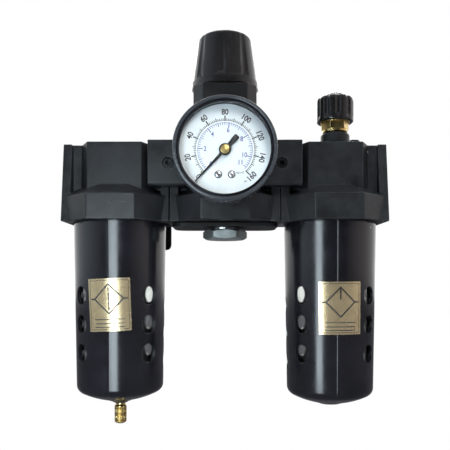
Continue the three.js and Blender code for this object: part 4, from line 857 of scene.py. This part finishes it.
def dial_figures(name, wanted, size, ink, upright, bold=0.0):
    """Figures printed on the dial, as (text, degrees, radius), turned with the scale or upright."""
    whole = bmesh.new()
    for text, degrees, radius in wanted:
        curve = bpy.data.curves.new("figure", "FONT")
        curve.body = text
        curve.size = size * MM
        curve.align_x, curve.align_y = "CENTER", "CENTER"
        curve.extrude = print_lift * MM / 2
        curve.offset = bold * MM
        curve.resolution_u = 4
        holder = bpy.data.objects.new("figure", curve)
        drawn = bpy.data.meshes.new_from_object(holder)
        u, v = dial_point(degrees, radius)
        lean = 0.0 if upright else -degrees
        if not upright and abs(degrees) > 120:
            lean += 180.0
        place = Matrix.Translation((u * MM, (dial_front - print_lift / 2) * MM, v * MM))
        place = place @ Matrix.Rotation(math.radians(90), 4, "X")
        place = place @ Matrix.Rotation(math.radians(lean), 4, "Z")
        drawn.transform(place @ Matrix.Diagonal((0.86, 1.0, 1.0, 1.0)))
        whole.from_mesh(drawn)
        bpy.data.objects.remove(holder)
        bpy.data.curves.remove(curve)
        bpy.data.meshes.remove(drawn)
    bmesh.ops.remove_doubles(whole, verts=whole.verts, dist=0.003 * MM)
    made = bpy.data.meshes.new(name)
    whole.to_mesh(made)
    whole.free()
    made.materials.clear()
    figure = bpy.data.objects.new(name, made)
    return settle(figure, "root", [ink], ["gauge_dial"], crease=30)


dial_figures("outer_figures", [(str(v), scale_start + v * per_unit, 19.3) for v in range(0, 161, 20)],
             4.1, dial_black, False, 0.10)
dial_figures("unit_names", [("psi", 146.5, 19.0), ("kg/cm2", 146.0, 13.9)], 1.7, dial_black, True)
dial_figures("inner_figures", [(str(v), scale_start + v * bar_unit * per_unit, 10.2)
                               for v in (0, 2, 4, 6, 8, 10, 11)], 3.5, dial_violet, True, 0.06)

bright_steel = finish("bright_steel", (0.62, 0.62, 0.63), (0.50, 0.50, 0.52), 0.20, 0.36,
                      patch_scale=200, grain_scale=1500, run=(1, 1, 4), edge=(0.85, 0.85, 0.86),
                      edge_width=0.2, edge_share=0.5, bump=0.12, depth=0.02, metallic=1.0)
pin_steel = finish("pin_steel", (0.34, 0.32, 0.25), (0.26, 0.25, 0.2), 0.2, 0.35, patch_scale=300,
                   grain_scale=1500, metallic=1.0, bump=0.1)
for name, u, v, radius, rise, paint in (("dial_screw_left", -screw_across, screw_up, 1.65, 0.75, bright_steel),
                                        ("dial_screw_right", screw_across, screw_up, 1.65, 0.75, bright_steel),
                                        ("stop_pin", -11.7, -11.8, 0.85, 2.2, pin_steel)):
    head = [(0.0, dial_front - rise)] + [(radius * math.sin(math.radians(a)) * 0.9,
            dial_front - rise * (0.55 + 0.45 * math.cos(math.radians(a)))) for a in (20, 40, 60, 80)]
    head += [(radius, dial_front - rise * 0.3), (radius, dial_front + 0.3), (0.0, dial_front + 0.3)]
    piece = new_piece(name, *turning(head, 40, (u, 0, v), forward=True))
    settle(piece, "root", [paint], (), crease=40)

pointer_paint = finish("pointer_paint", (0.0045, 0.0045, 0.005), (0.008, 0.008, 0.009), 0.25, 0.4,
                       bump=0.05, edge=(0.1, 0.1, 0.1), edge_width=0.15, edge_share=0.4)
low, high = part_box("gauge_pointer")
pointer_front = low.y / MM
pointer_angle, tip, tail = -137.0, 22.3, 9.5
blade = [(-0.28, tip), (0.28, tip), (0.75, 3.0), (1.0, -3.0), (1.45, -7.4),
         (1.45, -tail + 0.5), (1.0, -tail),
         (-1.0, -tail), (-1.45, -tail + 0.5), (-1.45, -7.4), (-1.0, -3.0), (-0.75, 3.0)]
turn = math.radians(pointer_angle)
points = []
for y in (pointer_front + 0.2, pointer_front + 0.7):
    for u, v in blade:
        points.append((u * math.cos(turn) + v * math.sin(turn), y, -u * math.sin(turn) + v * math.cos(turn)))
count = len(blade)
faces = [list(range(count)), [count + i for i in range(count)][::-1]]
faces += [[i, (i + 1) % count, count + (i + 1) % count, count + i] for i in range(count)]
hub = [(0.0, pointer_front - 0.10), (2.7, pointer_front - 0.10), (3.1, pointer_front + 0.25),
       (3.1, pointer_front + 0.8), (0.9, pointer_front + 0.8), (0.9, -49.0), (0.0, -49.0)]
more, hub_faces = turning(hub, 48, forward=True)
faces += [[i + len(points) for i in face] for face in hub_faces]
points += more
pointer = new_piece("pointer_and_hub", points, faces)
settle(pointer, "pointer", [pointer_paint], ["gauge_pointer"], crease=35)
boss = [(0.0, pointer_front - 0.24), (0.5, pointer_front - 0.24), (0.75, pointer_front - 0.15),
        (2.0, pointer_front - 0.22), (2.3, pointer_front - 0.12), (2.3, pointer_front + 0.1),
        (0.0, pointer_front + 0.1)]
piece = new_piece("pointer_boss", *turning(boss, 48, forward=True))
dull_brass = finish("dull_brass", (0.46, 0.36, 0.15), (0.36, 0.27, 0.10), 0.26, 0.42, patch_scale=320,
                    grain_scale=1600, edge=(0.7, 0.6, 0.3), edge_width=0.2, edge_share=0.5, bump=0.2,
                    metallic=1.0)
settle(piece, "pointer", [dull_brass], (), crease=35)

# ---- Sight feed head ---------------------------------------------------------------------------
# Above the lubricator: a brass hexagon nipple screwed into the boss, a black fluted cap
# that sets the drip rate, and a clear dome in it through which the drops are counted.
edged_copy("sight_feed_base", "feed_nipple", turned_brass, 0.3)
low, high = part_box("drip_knob")
cap_x, cap_y = (low.x + high.x) / 2 / MM, (low.y + high.y) / 2 / MM
cap_bottom, cap_top, cap_radius = low.z / MM, high.z / MM, 11.0
profile = [(cap_radius - 0.7, cap_bottom), (cap_radius - 0.2, cap_bottom + 0.4),
           (cap_radius, cap_bottom + 1.0)]
profile += [(cap_radius, cap_bottom + 1.0 + 11.4 * i / 8) for i in range(1, 9)]
for i in range(1, 7):
    angle = math.radians(90 * i / 6)
    profile.append((cap_radius - 2.2 * (1 - math.cos(angle)), cap_top - 2.9 + 2.6 * math.sin(angle)))
profile.append((cap_radius - 2.9, cap_top - 0.25))
sight_gap = 7.6
ring_sides = 200
piece = fluted("drip_rate_cap", (cap_x, cap_y), profile, ring_sides, 10, 2.3, 1.35,
               cap_bottom + 2.2, 1.2, 18.0, [])
work = bmesh.new()
work.from_mesh(piece.data)
doomed = [f for f in work.faces if len(f.verts) > 6]
bmesh.ops.delete(work, geom=doomed, context="FACES_ONLY")
loops = [e for e in work.edges if e.is_boundary]
top_loop = sorted((e for e in loops if e.verts[0].co.z > (cap_bottom + 5) * MM), key=lambda e: e.index)
bottom_loop = [e for e in loops if e.verts[0].co.z < (cap_bottom + 5) * MM]


def pushed(work, ring_edges, radius, z):
    """Continues an open rim to a new circle and gives back the new rim."""
    grown = bmesh.ops.extrude_edge_only(work, edges=ring_edges)["geom"]
    for vert in (v for v in grown if isinstance(v, bmesh.types.BMVert)):
        angle = math.atan2(vert.co.y - cap_y * MM, vert.co.x - cap_x * MM)
        vert.co = Vector(((cap_x + radius * math.cos(angle)) * MM,
                          (cap_y + radius * math.sin(angle)) * MM, z * MM))
    return [e for e in grown if isinstance(e, bmesh.types.BMEdge)]


for radius, z in ((sight_gap + 0.35, cap_top - 0.05), (sight_gap, cap_top - 0.4),
                  (sight_gap, cap_bottom + 3.0), (9.4, cap_bottom + 3.0), (9.4, cap_bottom)):
    top_loop = pushed(work, top_loop, radius, z)
bmesh.ops.bridge_loops(work, edges=top_loop + bottom_loop)
bmesh.ops.recalc_face_normals(work, faces=work.faces)
work.to_mesh(piece.data)
work.free()
settle(piece, "drip_adjuster", [knob_plastic], ["drip_knob"], crease=24)

sight_clear = glass("sight_clear", (0.80, 0.83, 0.86), 0.03, ior=1.5)
low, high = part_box("sight_dome")
dome_radius_out, dome_low, dome_high = (high.x - low.x) / 2 / MM, low.z / MM, high.z / MM
wall_thick = 1.4
shoulder = cap_top - 0.9


def dome_rows(radius, top, reverse=False):
    angles = [math.radians(90 * i / 12) for i in range(13)]
    rows = [(radius * math.sin(a), shoulder + (top - shoulder) * math.cos(a)) for a in angles]
    return rows[::-1] if reverse else rows


dome = dome_rows(dome_radius_out, dome_high)
dome += [(dome_radius_out, dome_low), (dome_radius_out - wall_thick, dome_low)]
dome += dome_rows(dome_radius_out - wall_thick, dome_high - wall_thick, True)
piece = new_piece("sight_window", *turning(dome, 72, (cap_x, cap_y, 0)))
settle(piece, "drip_adjuster", [sight_clear], ["sight_dome"], crease=40)

# ---- Seals, screws and inner parts -----------------------------------------------------------------
# What is left is turned or moulded, and mostly hidden: O-rings, washers, the valve, the
# filter element and the gauge's movement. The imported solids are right, so
# each takes the finish of its own material.
soft_rubber = finish("soft_rubber", (0.012, 0.012, 0.012), (0.02, 0.02, 0.02), 0.55, 0.75,
                     patch_scale=150, grain_scale=2500, bump=0.3, depth=0.03, dust=0.02)
moulded_white = finish("moulded_white", (0.74, 0.74, 0.70), (0.66, 0.65, 0.60), 0.35, 0.5,
                       patch_scale=90, grain_scale=900, bump=0.1)
sintered_bronze = finish("sintered_bronze", (0.42, 0.27, 0.13), (0.30, 0.19, 0.09), 0.5, 0.75,
                         patch_scale=260, grain_scale=3200, bump=0.9, depth=0.12, metallic=0.7)
turned_aluminium = finish("turned_aluminium", (0.72, 0.73, 0.74), (0.60, 0.61, 0.63), 0.22, 0.38,
                          patch_scale=180, grain_scale=1500, run=(0.05, 0.05, 3.0),
                          edge=(0.9, 0.9, 0.9), edge_width=0.2, edge_share=0.4, bump=0.2, depth=0.02,
                          metallic=1.0)
finishes = {"cast_black": cast_enamel, "guard_black": guard_enamel, "knob_black": knob_plastic,
            "clear": clear_bowl, "rubber": soft_rubber, "brass": turned_brass, "steel": bright_steel,
            "dark_steel": black_oxide, "white_plastic": moulded_white, "bronze": sintered_bronze,
            "aluminium": turned_aluminium, "dial": dial_enamel, "foil": gold_foil}
for row in frame["record"]["subparts"]:
    node = frame["nodes"][row["node"]]
    node.data.materials.clear()
    node.data.materials.append(finishes[row["material_slot"]])

# ---- Springs and diaphragm --------------------------------------------------------------------------
# The diaphragm is a moulded rubber sheet; here it is a rigid copy that does not give way as its plate moves
# down.
# Known fault: coil_spring hands metres to new_piece, which takes millimetres, so both springs come out a
# thousandth of their size, near the origin, and the imported springs aren't shown either.
coil_steps = 36
wire_sides = 10
spring_wire = finish("spring_wire", (0.52, 0.53, 0.55), (0.40, 0.41, 0.43), 0.24, 0.40, patch_scale=220,
                     grain_scale=1600, run=(0.1, 0.1, 3.0), edge=(0.8, 0.8, 0.82), edge_width=0.15,
                     edge_share=0.4, bump=0.15, depth=0.02, metallic=1.0)


def coil_spring(name, node, wire, turns):
    """A wound spring, an even coil that does not shorten. Too small: see above."""
    low, high = (Vector(corner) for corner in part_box(node))
    middle = (low + high) / 2
    radius = (high.x - low.x) / 2 - wire
    rise = high.z - low.z - 2 * wire
    steps = turns * coil_steps
    points, faces = [], []
    for i in range(steps + 1):
        angle = 2 * math.pi * i / coil_steps
        out = Vector((math.cos(angle), math.sin(angle), 0))
        centre = Vector((middle.x, middle.y, low.z + wire + rise * i / steps)) + out * radius
        for k in range(wire_sides):
            around = 2 * math.pi * k / wire_sides
            points.append(centre + out * (wire * math.cos(around)) + Vector((0, 0, wire * math.sin(around))))
    for i in range(steps):
        for k in range(wire_sides):
            here, beside = i * wire_sides + k, i * wire_sides + (k + 1) % wire_sides
            faces.append((here, here + wire_sides, beside + wire_sides, beside))
    faces.append(tuple(range(wire_sides)))
    faces.append(tuple(reversed(range(steps * wire_sides, (steps + 1) * wire_sides))))
    spring = new_piece(name, points, faces)
    settle(spring, "root", [spring_wire], [node], crease=50)
    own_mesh(spring)


coil_spring("wound_range_spring", "range_spring", 1.4 * MM, 4)
coil_spring("wound_valve_spring", "valve_spring", 0.5 * MM, 5)
sheet = edged_copy("diaphragm", "moulded_diaphragm", soft_rubber, 0.2)
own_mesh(sheet)
